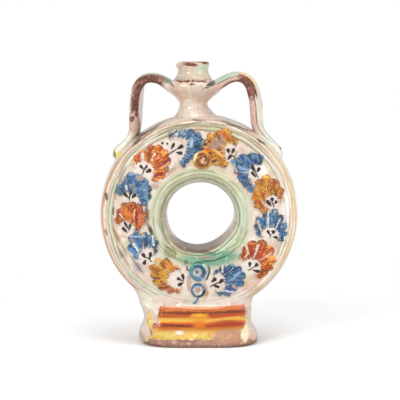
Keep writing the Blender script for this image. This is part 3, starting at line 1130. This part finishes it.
# Every fan's measures in millimetres and shares, which a flower may set for itself.
fanForm = {
    "sides": 60, "rowsPerDegree": 1.25, "topShare": 0.72, "height": 2.5, "shorter": 0.985,
    "overhang": 0.55, "notch": 0.965, "endNotch": 0.55, "cleft": 0.28, "near": 0.8, "least": (2.5, 3.5),
    "bend": 2, "lean": 0.22, "shoulder": 0.84, "sideShoulder": 0.93,
}
reliefForm = {
    "sunk": 0.35, "under": 0.9, "leaf": 0.6, "leafTint": "#241911", "leafSpread": 1.02, "leafLonger": 0.2,
    "stem": 0.45, "stemWidth": 0.6, "stemTint": "#473629",
}
rosetteForm = {"sides": 96, "rows": 48, "topShare": 0.75, "shoulder": 0.72, "arcSteps": 8}


# Depth of a relief's point on the ring's face: lifted on top, flat underneath.
def reliefDepth(top, lift):
    return facePlane + reliefForm["sunk"] - lift if top else facePlane + reliefForm["under"]


# A pressed fan of petals as one domed and ridged body, closed underneath.
def layFan(bm, fan, seed, dabs):
    brush, stroke, tints = paintLayers(bm)
    baseX, baseZ = spot(*fan["base"])
    petals = sorted(fan["petals"])
    last = len(petals) - 1
    angles = [petal[0] for petal in petals]
    lengths = [petal[1] * fan["shorter"] for petal in petals]
    leans = [fan["lean"] * noise.noise(Vector((i * 2.3, seed * 1.7, 9.0))) for i in range(last + 1)]
    starts = [(angle, (start,)) for angle, start in fan["starts"]]
    rims = [angles[0] - (angles[1] - angles[0]) * fan["overhang"]]
    rims += [(a + b) / 2 for a, b in zip(angles, angles[1:])]
    rims.append(angles[last] + (angles[last] - angles[last - 1]) * fan["overhang"])
    notches = [fan["endNotch"] * lengths[0]]
    notches += [fan["notch"] * min(a, b) for a, b in zip(lengths, lengths[1:])]
    notches.append(fan["endNotch"] * lengths[last])
    points = gridPoints(bm, fan["sides"], int((rims[-1] - rims[0]) * fan["rowsPerDegree"]))
    for vert, around, along in points:
        angle = blendValues(rims[0], rims[-1], along)
        i = max(k for k in range(last + 1) if angle >= rims[k] - 1e-6)
        side = 1 if angle > angles[i] else 0
        across = clamp(abs(angle - angles[i]) / max(abs(rims[i + side] - angles[i]), 1e-6))
        fray = noise.noise(Vector((angle * 0.21, seed * 3.1, 0.0)))
        length = lengths[i] - (lengths[i] - notches[i + side]) * across ** 2.6 + 1.3 * fray
        ragged = 2.6 * noise.noise(Vector((angle * 0.11, seed, 5.0)))
        ragged += 1.4 * noise.noise(Vector((angle * 0.3, seed, 8.0)))
        least, left = fan["least"]
        heart = clamp(alongStops(starts, angle)[0] * fan["near"] + ragged, least, length - left)
        top = around <= fan["topShare"]
        out = around / fan["topShare"] if top else (1 - around) / (1 - fan["topShare"])
        reach = blendValues(heart, length, out)
        bend = math.radians(angle + fan["bend"] * out * noise.noise(Vector((i * 1.9, seed, 2.0))))
        place = Vector((baseX + reach * math.cos(bend), 0, baseZ + reach * math.sin(bend)))
        colour, strength = paintAt(place, dabs if top else [])
        if len(petals[i]) > 2:
            colour, strength = pigment(petals[i][2]).lerp(colour, strength), 1.0
        strand = angle * 0.30
        hair = 0.42 * noise.noise(Vector((strand * 0.9, out * 1.5, seed)))
        hair += 0.26 * noise.noise(Vector((strand * 2.3, out * 3, seed + 5)))
        ridge = clamp(0.6 + 1.15 * hair - fan["cleft"] * across ** 4 * ease(out, 0.05, 0.35))
        dome = ease(out, 0.0, 0.42) ** 0.7 * roundOff(out, fan["shoulder"])
        dome *= roundOff(abs(along - 0.5) * 2, fan["sideShoulder"])
        place.y = reliefDepth(top, fan["height"] * dome * (0.5 + 0.62 * ridge))
        vert.co = place
        vert[brush] = (out, across, ridge)
        vert[stroke] = (strand, seed, leans[i])
        vert[tints] = (*colour, strength)
    weldPoints(bm, points, weld["piece"])


# By flower: its glaze, the spot its petals spring from, how far out they start, and for each petal its
# angle anticlockwise from the right, its length and perhaps a tint of its own. Leaves are the dark sprig's.
flowers = {
    "flower_left_6_blue": {
        "glaze": "blue", "base": (176, 149),
        "starts": [(-77, 14.5), (-56, 10.7), (-14, 9.5), (13, 9.8), (40, 13), (75, 11.5), (118, 12)],
        "near": 0.95,
        "petals": [(112, 18, "#8D8F9C"), (91, 19, "#C9C7C4"), (70, 22.5), (50, 26), (32, 29), (15, 29.5),
                   (-2, 27), (-27, 19), (-48, 18), (-66, 20)],
        "leaves": [((171.6, 148.4), (174, 143.6), 1.3), ((178, 148.4), (182.4, 145.8), 1.9),
                   ((177, 152.6), (181.6, 153.2), 1.6), ((162.2, 142), (162.6, 144), 1.2),
                   ((167, 142.6), (167.4, 144.4), 1.0)],
        "stems": [((166.6, 157), (170, 153.4), (177.6, 148.6))],
        "dabs": [((180, 129.4), (188, 127.8), 1.4, "#98957A"), ((168.6, 136.8), (177, 131), 1.0, "#3C4450"),
                 ((196, 146), (203.6, 148.6), 1.6, "#1E2A38"), ((196, 135.4), (201, 138), 1.4, "#1F4270"),
                 ((189, 128.6), (194, 133), 1.2, "#32506E"), ((191, 146.4), (192, 140), 1.3, "#A9C2DA"),
                 ((183, 166.4), (188, 163), 1.2, "#33506F"), ((202, 144), (204.4, 140), 1.3, "#7D8F78")],
    },
    "flower_right_6_golden": {
        "glaze": "golden", "base": (231, 153),
        "starts": [(71, 10), (105, 11.4), (129, 9.7), (180, 6.5), (215, 8), (240, 11.5)],
        "petals": [(71, 16), (101, 25.5), (124, 27), (141, 30), (156, 29), (171, 27.5), (188, 22),
                   (211, 21), (240, 17)],
        "leaves": [((228.6, 152.6), (228, 149), 1.6), ((232, 153), (234, 149), 1.5),
                   ((228, 159), (231, 155.4), 1.6)],
        "stems": [((237.6, 160.4), (234.6, 157.4), (232.4, 154.6))],
        "dabs": [((214, 146), (220.5, 139.6), 4.0, "#A98A78"),
                 ((222.6, 133), (227.6, 137.6), 2.0, "#C85A1C"),
                 ((208, 149.6), (213, 152.4), 2.0, "#D0661E"), ((211.5, 162), (216, 160.6), 1.3, "#5E3B36"),
                 ((216.6, 134), (219.4, 138.4), 1.1, "#7A3B20"),
                 ((210, 152.6), (211.6, 157), 1.1, "#6E3216"), ((214, 150), (223.4, 156.6), 1.2, "#F0BE62"),
                 ((213.6, 154), (223, 159.4), 0.9, "#B4701C"), ((229.6, 136), (235.4, 139), 1.4, "#B9782C"),
                 ((206.4, 134), (205, 141), 0.8, "#6A5A3C")],
    },
    "flower_right_5_blue": {
        "glaze": "blue", "base": (256, 174),
        "starts": [(51, 10.5), (90, 9.7), (137, 8.3), (177, 8.4), (229, 9.4), (256, 13.5)],
        "petals": [(74, 20), (97, 21.5), (132, 25), (152, 27.5), (171, 22), (193, 19), (222, 17.5),
                   (255, 19)],
        "leaves": [((255, 171.4), (252, 166.6), 1.7), ((257.4, 171.6), (259.4, 168), 1.7),
                   ((255.6, 176.8), (252, 172.4), 1.4)],
        "stems": [((258, 177.6), (256.6, 174.6), (254.6, 170.6))],
        "dabs": [((246.8, 150.4), (252.6, 166), 1.0, "#2B352F"),
                 ((241.4, 156.6), (243.4, 159), 1.3, "#27467C"),
                 ((253, 160.6), (257, 162.4), 1.6, "#1E3B74"), ((258.6, 155), (263, 164.6), 1.0, "#24386A"),
                 ((240, 176.6), (247, 177.8), 1.2, "#2E5C92"), ((244, 183), (249, 184.6), 1.2, "#253A58"),
                 ((247, 187), (252, 191.6), 1.2, "#52748F"), ((239, 167), (249, 170.6), 1.2, "#86A8CC"),
                 ((237, 172.6), (239.6, 174), 1.2, "#6E5258"),
                 ((236.4, 156.6), (240.6, 151), 1.3, "#A9997E"),
                 ((233.6, 164), (236.4, 171.4), 1.0, "#C2AC9C"),
                 ((249, 160), (251.4, 163.6), 1.2, "#3C70B0")],
    },
    "flower_right_4_golden": {
        "glaze": "golden", "base": (271, 204),
        "starts": [(20, 10.5), (74, 10), (111, 8.6), (151, 6.4), (212, 6), (225, 7)],
        "petals": [(25, 14, "#E2B394"), (52, 20), (80, 25.5), (100, 30), (120, 28), (140, 25), (160, 20.5),
                   (184, 17), (222, 13)],
        "leaves": [((270.6, 205.4), (267.4, 201), 1.8), ((272.4, 201), (272, 198), 1.8),
                   ((275, 203.6), (276.6, 201), 1.3)],
        "stems": [((273.6, 207.6), (273.4, 204.6), (271.6, 202))],
        "dabs": [((274.4, 180), (273.2, 188.6), 1.0, "#8A3D14"),
                 ((282.6, 188), (280.4, 198), 1.2, "#A8562A"), ((257, 200), (263, 206), 1.8, "#A4480F"),
                 ((254, 196.6), (258, 201), 1.6, "#D2701C"), ((260.6, 181), (261.4, 183.6), 1.0, "#7A4512"),
                 ((261.4, 193), (263.4, 194.4), 1.3, "#BF500C"),
                 ((263, 176), (267.4, 177.6), 1.7, "#E9AE48"), ((275, 190), (276.4, 196), 1.0, "#8A3F18"),
                 ((262, 201.4), (266.6, 207.6), 0.8, "#F0C9A8")],
    },
    "flower_right_3_blue": {
        "glaze": "blue", "base": (271, 236),
        "starts": [(-15, 9), (35, 9), (84, 8.2), (134, 10.7), (155, 12), (180, 12)],
        "notch": 0.85, "cleft": 0.55,
        "petals": [(-18, 13.5), (12, 17), (38, 20), (62, 24), (80, 28), (106, 25), (128, 23),
                   (148, 20, "#57687C"), (172, 15)],
        "leaves": [((269.6, 234.4), (267.6, 230.6), 1.3), ((273, 233.6), (273.6, 230.6), 2.0),
                   ((273.6, 237), (277.4, 237.6), 1.5)],
        "stems": [((270, 238), (270.4, 235.6), (271.4, 234))],
        "dabs": [((280.6, 217.6), (283.4, 219.6), 1.5, "#1B2C4C"),
                 ((281.8, 238.6), (282.6, 240.8), 1.0, "#1B2A46"),
                 ((256, 218.6), (256.6, 226), 0.9, "#323D44"), ((261, 220), (262.4, 223), 1.5, "#2C76A0"),
                 ((276, 223), (279.6, 229.6), 1.7, "#29477E"), ((280, 232), (283.4, 233.4), 1.8, "#3E66A0"),
                 ((268.4, 214), (267, 224), 0.5, "#B9CFDC"), ((272.6, 208), (272, 211.4), 1.1, "#26303C"),
                 ((264, 212.6), (265, 215.4), 1.0, "#2E3E52"),
                 ((268.2, 212), (268.4, 227.6), 0.5, "#E9E2DC"),
                 ((279.8, 219), (275.8, 228.6), 0.5, "#E9E2DC"),
                 ((257.6, 221), (261.6, 231), 0.6, "#E6DDD6")],
    },
    "flower_right_2_orange": {
        "glaze": "orange", "base": (252, 269),
        "starts": [(-43, 9), (-27, 8.6), (10, 8.9), (48, 10), (80, 10.4), (103, 11.5), (132, 13.7)],
        "petals": [(130, 19), (111, 24), (92, 28.5), (68, 31), (46, 30), (24, 26.5), (4, 21.5), (-16, 16.5),
                   (-44, 12.5)],
        "leaves": [((249.6, 266.4), (250, 262.6), 1.6), ((255, 266.4), (257.6, 264), 1.9),
                   ((253.6, 270.4), (259, 271.6), 1.6)],
        "stems": [((247.4, 270.6), (251, 269), (254.4, 266.6))],
        "dabs": [((241.4, 250.4), (243.6, 257), 1.8, "#8A3A1C"),
                 ((250.6, 247), (252.6, 255), 2.0, "#9E3412"), ((257, 246), (256, 254), 0.5, "#F1D9CC"),
                 ((263.6, 248.6), (265.4, 251), 1.3, "#A8320C"),
                 ((256, 257.6), (264, 251.6), 1.5, "#C2470F"), ((261, 262), (272, 253), 1.3, "#B03C10"),
                 ((268, 256.6), (276.6, 257.6), 1.8, "#EFA35C"),
                 ((269, 246), (273.4, 244.6), 1.6, "#E59A2E"), ((244, 243.6), (248, 240.4), 1.0, "#D88A34"),
                 ((262, 278.6), (266, 274.6), 0.9, "#A88450"),
                 ((246.6, 246.6), (248.4, 252.6), 0.8, "#EFD3C2"),
                 ((248.4, 252.6), (245.2, 257), 0.7, "#EFD3C2"),
                 ((271.4, 253), (260, 260.2), 0.7, "#F0BE92"),
                 ((258.8, 244.6), (253.6, 258), 0.65, "#F3DCD0")],
    },
    "flower_right_1_blue": {
        "glaze": "blue", "base": (213, 283),
        "starts": [(-77, 9), (-32, 13.4), (7, 11), (38, 12.7), (60, 13), (80, 9)],
        "near": 0.92,
        "petals": [(77, 14), (60, 21), (44, 28.5), (29, 32), (15, 34), (0, 31.5), (-18, 25), (-37, 21),
                   (-60, 15)],
        "leaves": [((212, 281.6), (215.6, 278.6), 1.9), ((219.6, 283), (222.6, 279.6), 1.7),
                   ((213.6, 285.4), (218.6, 287), 1.4)],
        "stems": [((209.4, 287.4), (213, 285), (219.6, 282))],
        "dabs": [((224, 273.6), (228, 267), 2.3, "#1E4173"), ((220.6, 265.6), (220, 270), 1.0, "#1F2C30"),
                 ((212, 272), (217, 269.6), 1.2, "#33507F"), ((224.6, 288), (234, 290), 1.5, "#3B4C86"),
                 ((217, 294), (233, 295.4), 2.0, "#46667F"), ((233.6, 286), (235, 287), 1.4, "#C6A78E"),
                 ((238, 282), (243, 281), 1.3, "#33588C"), ((229, 263.6), (236, 265.6), 1.4, "#5F9CA8"),
                 ((232, 279.6), (240, 271.6), 1.1, "#7FA5CC"),
                 ((224.8, 284.6), (226.4, 280), 1.3, "#24427C"), ((244, 268.6), (245, 273), 1.4, "#2E5C98"),
                 ((222.6, 262.6), (222.4, 272), 0.8, "#E9E1DC"),
                 ((224, 290.8), (236, 292.4), 0.7, "#DCE2E8")],
    },
    "flower_left_1_golden": {
        "glaze": "golden", "base": (182, 280),
        "starts": [(107, 12), (140, 11.5), (168, 14), (191, 15), (213, 12.5), (254, 10.4)],
        "near": 0.9,
        "petals": [(110, 16), (127, 28), (142, 33.5), (156, 35), (170, 32), (185, 29), (200, 25.5),
                   (222, 19), (250, 14)],
        "leaves": [((180.4, 279.6), (177.4, 278.4), 1.5), ((183.6, 279.4), (182.6, 274.6), 1.5),
                   ((182.8, 283), (178.4, 285), 1.6)],
        "stems": [((184.4, 281.4), (181.6, 280.6), (179, 278.8))],
        "dabs": [((164, 279.4), (167, 280.6), 2.3, "#CDA21C"), ((152.6, 269), (160, 271), 1.3, "#9A5A1C"),
                 ((161, 263), (165, 268), 1.1, "#8A4A18"), ((168, 266), (174, 267), 2.2, "#E99A3C"),
                 ((156, 288.6), (171, 287), 1.0, "#7E3818"), ((166, 290.6), (176, 289.6), 1.9, "#C0623A"),
                 ((172, 292.6), (183, 292.4), 1.2, "#A87A48"), ((161, 281.6), (166, 285), 1.3, "#A04E24"),
                 ((154, 262), (158, 264), 1.5, "#C9B98A"), ((177, 265), (181.4, 266.6), 1.6, "#EFDCA8"),
                 ((150.6, 277.6), (160, 278.6), 0.9, "#7A4420"),
                 ((160.6, 272.6), (165, 274), 1.4, "#DDA62E")],
    },
    "flower_left_2_blue": {
        "glaze": "blue", "base": (147, 259),
        "starts": [(41, 10), (60, 13), (95, 11.8), (123, 9.6), (158, 9.8)],
        "near": 0.88,
        "petals": [(41, 14), (60, 21.5), (78, 25), (94, 27), (110, 31), (128, 29), (147, 23), (170, 14)],
        "leaves": [((145, 257.4), (142.8, 253.8), 1.8), ((149.8, 258.4), (150.6, 253), 1.5),
                   ((145.6, 260.4), (143.8, 264), 1.7)],
        "stems": [((152, 262.4), (149, 259), (146, 257))],
        "dabs": [((140.6, 232), (143, 234), 1.6, "#B9A050"), ((133, 231.4), (144, 229.4), 1.2, "#6E86A2"),
                 ((145.4, 232), (146, 246), 1.1, "#2B4160"), ((154.6, 238), (157, 243), 1.7, "#2A3A4E"),
                 ((152.6, 235.6), (153.6, 245), 0.8, "#DCE8F2"),
                 ((133.6, 243), (138, 250.6), 0.6, "#D3E0EC"),
                 ((155.6, 246.6), (155.6, 252.6), 0.9, "#33425C"),
                 ((131, 239.6), (133, 241.4), 1.3, "#A9876C"), ((137, 241), (140, 246), 2.0, "#2F66A0"),
                 ((131, 250), (136, 254.6), 1.6, "#5E96CC"), ((130.6, 234.6), (133.4, 233), 1.0, "#33485C"),
                 ((133, 243.6), (138.6, 251.6), 0.7, "#EFF2F4"),
                 ((131, 236.6), (144.6, 236.4), 0.7, "#9DB5D0")],
    },
    "flower_left_3_orange": {
        "glaze": "orange", "base": (128, 229),
        "starts": [(4, 9), (31, 8.4), (73, 6.9), (112, 10.5), (142, 11)],
        "petals": [(4, 13), (22, 19.5), (42, 24), (61, 27), (80, 28), (98, 27), (118, 22.5), (142, 17)],
        "leaves": [((127.4, 227.4), (124.8, 222.8), 1.3), ((129.6, 228.4), (130.4, 224.6), 1.2),
                   ((126.6, 232), (122.8, 228), 1.5)],
        "stems": [((129.4, 231), (128.4, 228.6), (127, 226))],
        "dabs": [((123.6, 204.4), (127, 202.4), 1.6, "#7A3A20"),
                 ((136.4, 212), (136.6, 223), 1.3, "#8C2A12"), ((139.6, 208), (142.6, 216), 1.7, "#A9402A"),
                 ((118.6, 211), (117.6, 219.6), 1.4, "#8E4028"), ((126, 213), (131, 216), 2.0, "#E07A1C"),
                 ((139, 217), (142, 224), 1.4, "#CE6238"), ((114.4, 222), (116, 228), 1.3, "#D2A04A"),
                 ((120.6, 207.6), (123, 212), 1.2, "#B98068"),
                 ((134.6, 204), (136.4, 207.6), 1.2, "#8A3518"),
                 ((134.6, 209.6), (133.8, 220), 0.45, "#F0C8AA"), ((120, 214), (123.6, 219), 0.5, "#F1D2BE")],
    },
    "flower_left_4_blue": {
        "glaze": "blue", "base": (130, 199),
        "starts": [(-17, 13.5), (-8, 10.5), (7, 9), (23, 6.5), (107, 6.5), (140, 9.5), (165, 11)],
        "petals": [(-17, 18), (7, 21.5), (28, 24.5), (47, 26), (67, 27), (88, 27), (108, 24), (128, 20),
                   (150, 17)],
        "leaves": [((128, 197.4), (123.4, 192.6), 1.5), ((130, 195.4), (131, 191), 1.4),
                   ((132.4, 197.6), (135.6, 193.8), 1.8)],
        "stems": [((129.6, 201), (129.4, 198), (130, 193))],
        "dabs": [((148.4, 183), (150.6, 198), 1.5, "#2F3A44"), ((141, 200), (145, 200.6), 1.4, "#2A5288"),
                 ((144, 186.6), (148, 184), 1.6, "#5F82B0"), ((137, 179), (142, 177), 2.4, "#B09A94"),
                 ((133, 179), (135, 181), 1.9, "#2E6AA4"), ((125.6, 186.6), (126.4, 189), 1.3, "#D6E8F0"),
                 ((131, 186), (134, 189), 2.0, "#8C93A0"), ((117.4, 189), (119.4, 197), 1.5, "#4E7F90"),
                 ((145.6, 195.6), (147, 199), 1.4, "#6EA0B0"), ((138, 188), (140, 196), 1.6, "#3F74AC"),
                 ((123.6, 186), (124.4, 188.4), 1.0, "#3F2F3A"),
                 ((131, 173.6), (138, 173.4), 1.4, "#88A0BE"),
                 ((119.4, 182.6), (122.6, 177.4), 2.0, "#B8A29A")],
    },
    "flower_left_5_orange": {
        "glaze": "orange", "base": (143, 173),
        "starts": [(-25, 13), (-8, 11.2), (18, 12), (45, 12.4), (63, 10.9), (81, 13.4), (110, 12.2),
                   (132, 13.6)],
        "petals": [(-30, 16.5), (-10, 22), (8, 26), (25, 30.5), (42, 33), (58, 32.8), (74, 29.4), (92, 23),
                   (112, 20), (136, 17, "#E6C3A2")],
        "leaves": [((143, 169), (140.4, 165.4), 1.5), ((144.6, 169.4), (147, 165.6), 1.2),
                   ((146.4, 172), (150.6, 170), 1.9)],
        "stems": [((142.2, 175), (143.4, 171.6), (144.4, 168.8))],
        "dabs": [((139.6, 159.6), (140.6, 153.6), 1.4, "#B9502A"), ((135, 156), (133, 159), 1.7, "#D26A3A"),
                 ((152, 160), (155, 154), 1.0, "#F3DCC8"), ((163, 163), (169.6, 160.6), 1.7, "#7A2A18"),
                 ((155.6, 175.6), (162, 173.6), 1.6, "#8E2C10"), ((158, 168), (162, 163.4), 1.5, "#9C3410"),
                 ((165, 168.6), (173, 167.6), 1.6, "#8E6A58"), ((148, 155), (150.6, 148.6), 1.3, "#8A4416"),
                 ((158, 178), (163, 177.6), 1.5, "#D8762C"), ((155, 158), (157, 162), 2.2, "#CE5A10"),
                 ((163, 155), (166.4, 152), 1.4, "#E8A24A"), ((146.6, 163.4), (150, 158.4), 1.0, "#A85418"),
                 ((142.8, 163), (142.4, 154.6), 1.6, "#E9DDD2"), ((160, 169), (168.6, 163), 0.8, "#EFA05A"),
                 ((157, 179.6), (163, 181), 1.2, "#EE9A58")],
    },
}


def makeFlower(node, flower, seed):
    form = reliefForm
    bm = bmesh.new()
    crown = facePlane - fanForm["height"] * 0.6
    dabs = [(flatSpot(*start, crown), flatSpot(*end, crown), halfWidth, pigment(tone))
            for start, end, halfWidth, tone in flower["dabs"]]
    layFan(bm, fanForm | flower, seed, dabs)
    low = facePlane - 0.1
    for start, end, halfWidth in flower["leaves"]:
        start, end = Vector(start), Vector(end)
        longer = (end - start) * form["leafLonger"]
        path = [flatSpot(*(start - longer), low), flatSpot(*(end + longer), low)]
        layStroke(bm, path, halfWidth * form["leafSpread"], form["leaf"], form["leafTint"], 0.5, 0.35, low)
    for stem in flower["stems"]:
        path = [flatSpot(*place, low) for place in stem]
        layStroke(bm, path, form["stemWidth"], form["stem"], form["stemTint"], 0.5, 0.8, low)
    finishPiece(bm, node + "_relief", glazes[flower["glaze"]], node, 0, False)


for i, (node, flower) in enumerate(flowers.items()):
    makeFlower(node, flower, i + 1.0)
print("flowers laid:", len(flowers))

# Rosettes

# By rosette: glaze, middle, radius, height, how the ridge winds, painted arcs as middle, radius, start and
# end angle, half width and tint, and single strokes as three spots, half width, height and tint.
rosettes = {
    "rosette_top_orange": {
        "glaze": "golden", "at": (202.4, 159.6), "radius": 9.6, "height": 3.0,
        "hollow": 0.25, "pitch": 3.6, "arms": 1, "wild": 1.3,
        "arcs": [((202, 159), 7.6, 130, 185, 1.5, "#F1DFA6"), ((202, 159), 5.0, 70, 130, 1.0, "#7A3A10"),
                 ((203, 160), 5.6, -70, 20, 1.2, "#8A4A18"), ((202, 159), 7.8, 55, 110, 1.3, "#E39A34"),
                 ((202, 160), 3.4, 150, 330, 0.7, "#7E4418"), ((203.6, 161), 1.6, 0, 300, 1.0, "#E0B080"),
                 ((202, 159), 7.8, -120, -60, 1.2, "#C98A3C"),
                 ((202.4, 159.6), 6.4, 190, 300, 1.0, "#7A3E14"),
                 ((201.6, 158.8), 4.4, -40, 60, 0.8, "#6E3410")],
        "strokes": [],
    },
    "rosette_bottom_blue": {
        "glaze": "blue", "at": (198.6, 272), "radius": 9.4, "height": 2.6,
        "hollow": 0.5, "pitch": 6.2, "arms": 0, "wild": 0.7,
        "arcs": [((198.4, 271.6), 7.4, 20, 165, 1.9, "#3E9088"),
                 ((198.6, 271.8), 5.6, -50, 130, 0.8, "#22385A"),
                 ((197.4, 272.4), 1.6, 0, 330, 2.4, "#B4B9B6"), ((197, 272.4), 0.5, 0, 200, 1.0, "#7A5A48"),
                 ((199, 272.6), 8.8, -70, 62, 0.8, "#DCD8D0"), ((196.6, 273), 6.4, 200, 290, 1.8, "#55809E")],
        "strokes": [((208.4, 266), (209.4, 272), (206, 281), 0.8, 0.7, "#544A42"),
                    ((187.6, 266), (187, 269), (189, 271), 0.9, 0.7, "#6C6470")],
    },
    "rosette_lowest_blue": {
        "glaze": "blue", "at": (198, 290.4), "radius": 7.4, "height": 2.4,
        "hollow": 0.5, "pitch": 5.0, "arms": 0, "wild": 0.6,
        "arcs": [((198, 290.4), 3.5, 0, 350, 0.7, "#E6E2DC"), ((197.8, 290.6), 1.0, 0, 320, 1.7, "#C4937A"),
                 ((198.4, 290.8), 6.2, -75, 0, 1.1, "#1C2638"),
                 ((197.8, 290.2), 6.6, 190, 250, 0.9, "#6C6A58"),
                 ((198, 290), 6.0, 60, 120, 1.1, "#2F5C90")],
        "strokes": [((198.6, 297.6), (196.4, 301), (193, 304.6), 1.4, 0.9, "#6F8CA2")],
    },
}


def arcDabs(arcs):
    steps = rosetteForm["arcSteps"]
    dabs = []
    for (across, down), radius, start, end, halfWidth, tone in arcs:
        turns = [math.radians(blendValues(start, end, i / steps)) for i in range(steps + 1)]
        stops = [flatSpot(across + radius * math.cos(turn), down - radius * math.sin(turn), facePlane - 2)
                 for turn in turns]
        dabs += [(a, b, halfWidth, pigment(tone)) for a, b in zip(stops, stops[1:])]
    return dabs


def makeRosette(node, rosette, seed):
    bm = bmesh.new()
    brush, stroke, tints = paintLayers(bm)
    middleX, middleZ = spot(*rosette["at"])
    dabs = arcDabs(rosette["arcs"])
    topShare = rosetteForm["topShare"]
    points = gridPoints(bm, rosetteForm["sides"], rosetteForm["rows"])
    for vert, around, along in points:
        turn = 2 * math.pi * around
        top = along <= topShare
        out = along / topShare if top else (1 - along) / (1 - topShare)
        wild = rosette["wild"] * noise.noise(Vector((2 * math.cos(turn), 2 * math.sin(turn), seed)))
        reach = out * (rosette["radius"] + wild)
        x, z = reach * math.cos(turn), reach * math.sin(turn)
        winding = reach * 2 * math.pi / rosette["pitch"] + rosette["arms"] * turn + wild
        ridge = 0.5 - 0.5 * math.cos(winding) if rosette["arms"] else ease(out, 0.2, 0.62)
        ridge = clamp(ridge + 0.5 * noise.noise(Vector((x, z, seed)) * 0.5))
        dome = roundOff(out, rosetteForm["shoulder"])
        lift = rosette["height"] * dome * blendValues(1 - rosette["hollow"], 1.0, ridge)
        place = Vector((middleX + x, 0, middleZ + z))
        colour, strength = paintAt(place, dabs if top else [])
        place.y = reliefDepth(top, lift)
        vert.co = place
        vert[brush] = (0.5, 0.0, ridge)
        vert[stroke] = (reach * 1.2 + turn * 0.5, seed, 0.0)
        vert[tints] = (*colour, strength)
    weldPoints(bm, points, weld["piece"])
    for *places, halfWidth, height, tone in rosette["strokes"]:
        layStroke(bm, [flatSpot(*place) for place in places], halfWidth, height, tone, 0.1, 0.9)
    finishPiece(bm, node + "_relief", glazes[rosette["glaze"]], node, 0, False)


for i, (node, rosette) in enumerate(rosettes.items()):
    makeRosette(node, rosette, i + 20.0)
print("rosettes laid:", len(rosettes))

# Floor, light and camera

studio = {
    "floorSeen": "#FFFFFF", "floorLit": (0.62, 0.62, 0.62, 1), "floorFade": (190.0, 330.0), "world": 0.62,
    "target": (0, 0, 0.13),
    "lamps": [
        {"name": "key", "at": (-0.95, -1.25, 0.95), "size": 0.7, "power": 13},
        {"name": "fill", "at": (1.25, -1.0, 0.7), "size": 0.9, "power": 8},
        {"name": "crown", "at": (0.2, -0.3, 1.5), "size": 0.9, "power": 7},
    ],
}


def makeFloor():
    bm = bmesh.new()
    bmesh.ops.create_grid(bm, x_segments=1, y_segments=1, size=6.0)
    mesh = bpy.data.meshes.new("floor")
    bm.to_mesh(mesh)
    bm.free()
    floor = bpy.data.objects.new("floor", mesh)
    bpy.context.scene.collection.objects.link(floor)
    glaze = Glaze("floor_paint")
    seen = glaze.node("ShaderNodeLightPath", output="Is Camera Ray")
    colour = glaze.lay(studio["floorLit"], studio["floorSeen"], seen)
    shaded = glaze.node("ShaderNodeBsdfDiffuse", {}, {"Color": colour})
    plain = glaze.node("ShaderNodeEmission", {}, {"Color": (1, 1, 1, 1), "Strength": 1.0})
    far = glaze.node("ShaderNodeVectorMath", {"operation": "LENGTH"}, [glaze.place], "Value")
    fade = glaze.ease(far, *studio["floorFade"])
    shader = glaze.node("ShaderNodeMixShader", {}, {0: fade, 1: shaded, 2: plain})
    glaze.node("ShaderNodeOutputMaterial", {}, {"Surface": shader})
    mesh.materials.append(glaze.material)


def makeWorld():
    world = bpy.data.worlds.new("studio")
    bpy.context.scene.world = world
    world.use_nodes = True
    tree = world.node_tree
    tree.nodes.clear()
    path = tree.nodes.new("ShaderNodeLightPath")
    shown = tree.nodes.new("ShaderNodeBackground")
    shown.inputs["Strength"].default_value = 1.0
    lit = tree.nodes.new("ShaderNodeBackground")
    lit.inputs["Strength"].default_value = studio["world"]
    for sky in (shown, lit):
        sky.inputs["Color"].default_value = (1, 1, 1, 1)
    mix = tree.nodes.new("ShaderNodeMixShader")
    output = tree.nodes.new("ShaderNodeOutputWorld")
    tree.links.new(path.outputs["Is Camera Ray"], mix.inputs[0])
    tree.links.new(lit.outputs[0], mix.inputs[1])
    tree.links.new(shown.outputs[0], mix.inputs[2])
    tree.links.new(mix.outputs[0], output.inputs["Surface"])


def makeLamp(lamp):
    light = bpy.data.lights.new(lamp["name"], "AREA")
    light.energy = lamp["power"]
    light.size = lamp["size"]
    holder = bpy.data.objects.new(lamp["name"], light)
    holder.location = lamp["at"]
    aim = Vector(studio["target"]) - Vector(lamp["at"])
    holder.rotation_euler = aim.to_track_quat("-Z", "Y").to_euler()
    bpy.context.scene.collection.objects.link(holder)


def makeCamera():
    data = bpy.data.cameras.new("camera")
    data.lens = view["lens"]
    data.sensor_width = view["sensor"]
    data.sensor_fit = "HORIZONTAL"
    data.clip_end = 50
    camera = bpy.data.objects.new("camera", data)
    eye, aim = Vector(view["eye"]) * millimetre, Vector(view["aim"]) * millimetre
    camera.location = eye
    camera.rotation_euler = (aim - eye).to_track_quat("-Z", "Y").to_euler()
    bpy.context.scene.collection.objects.link(camera)
    bpy.context.scene.camera = camera


makeFloor()
makeWorld()
for lamp in studio["lamps"]:
    makeLamp(lamp)
makeCamera()
bpy.context.scene.view_settings.view_transform = "Standard"
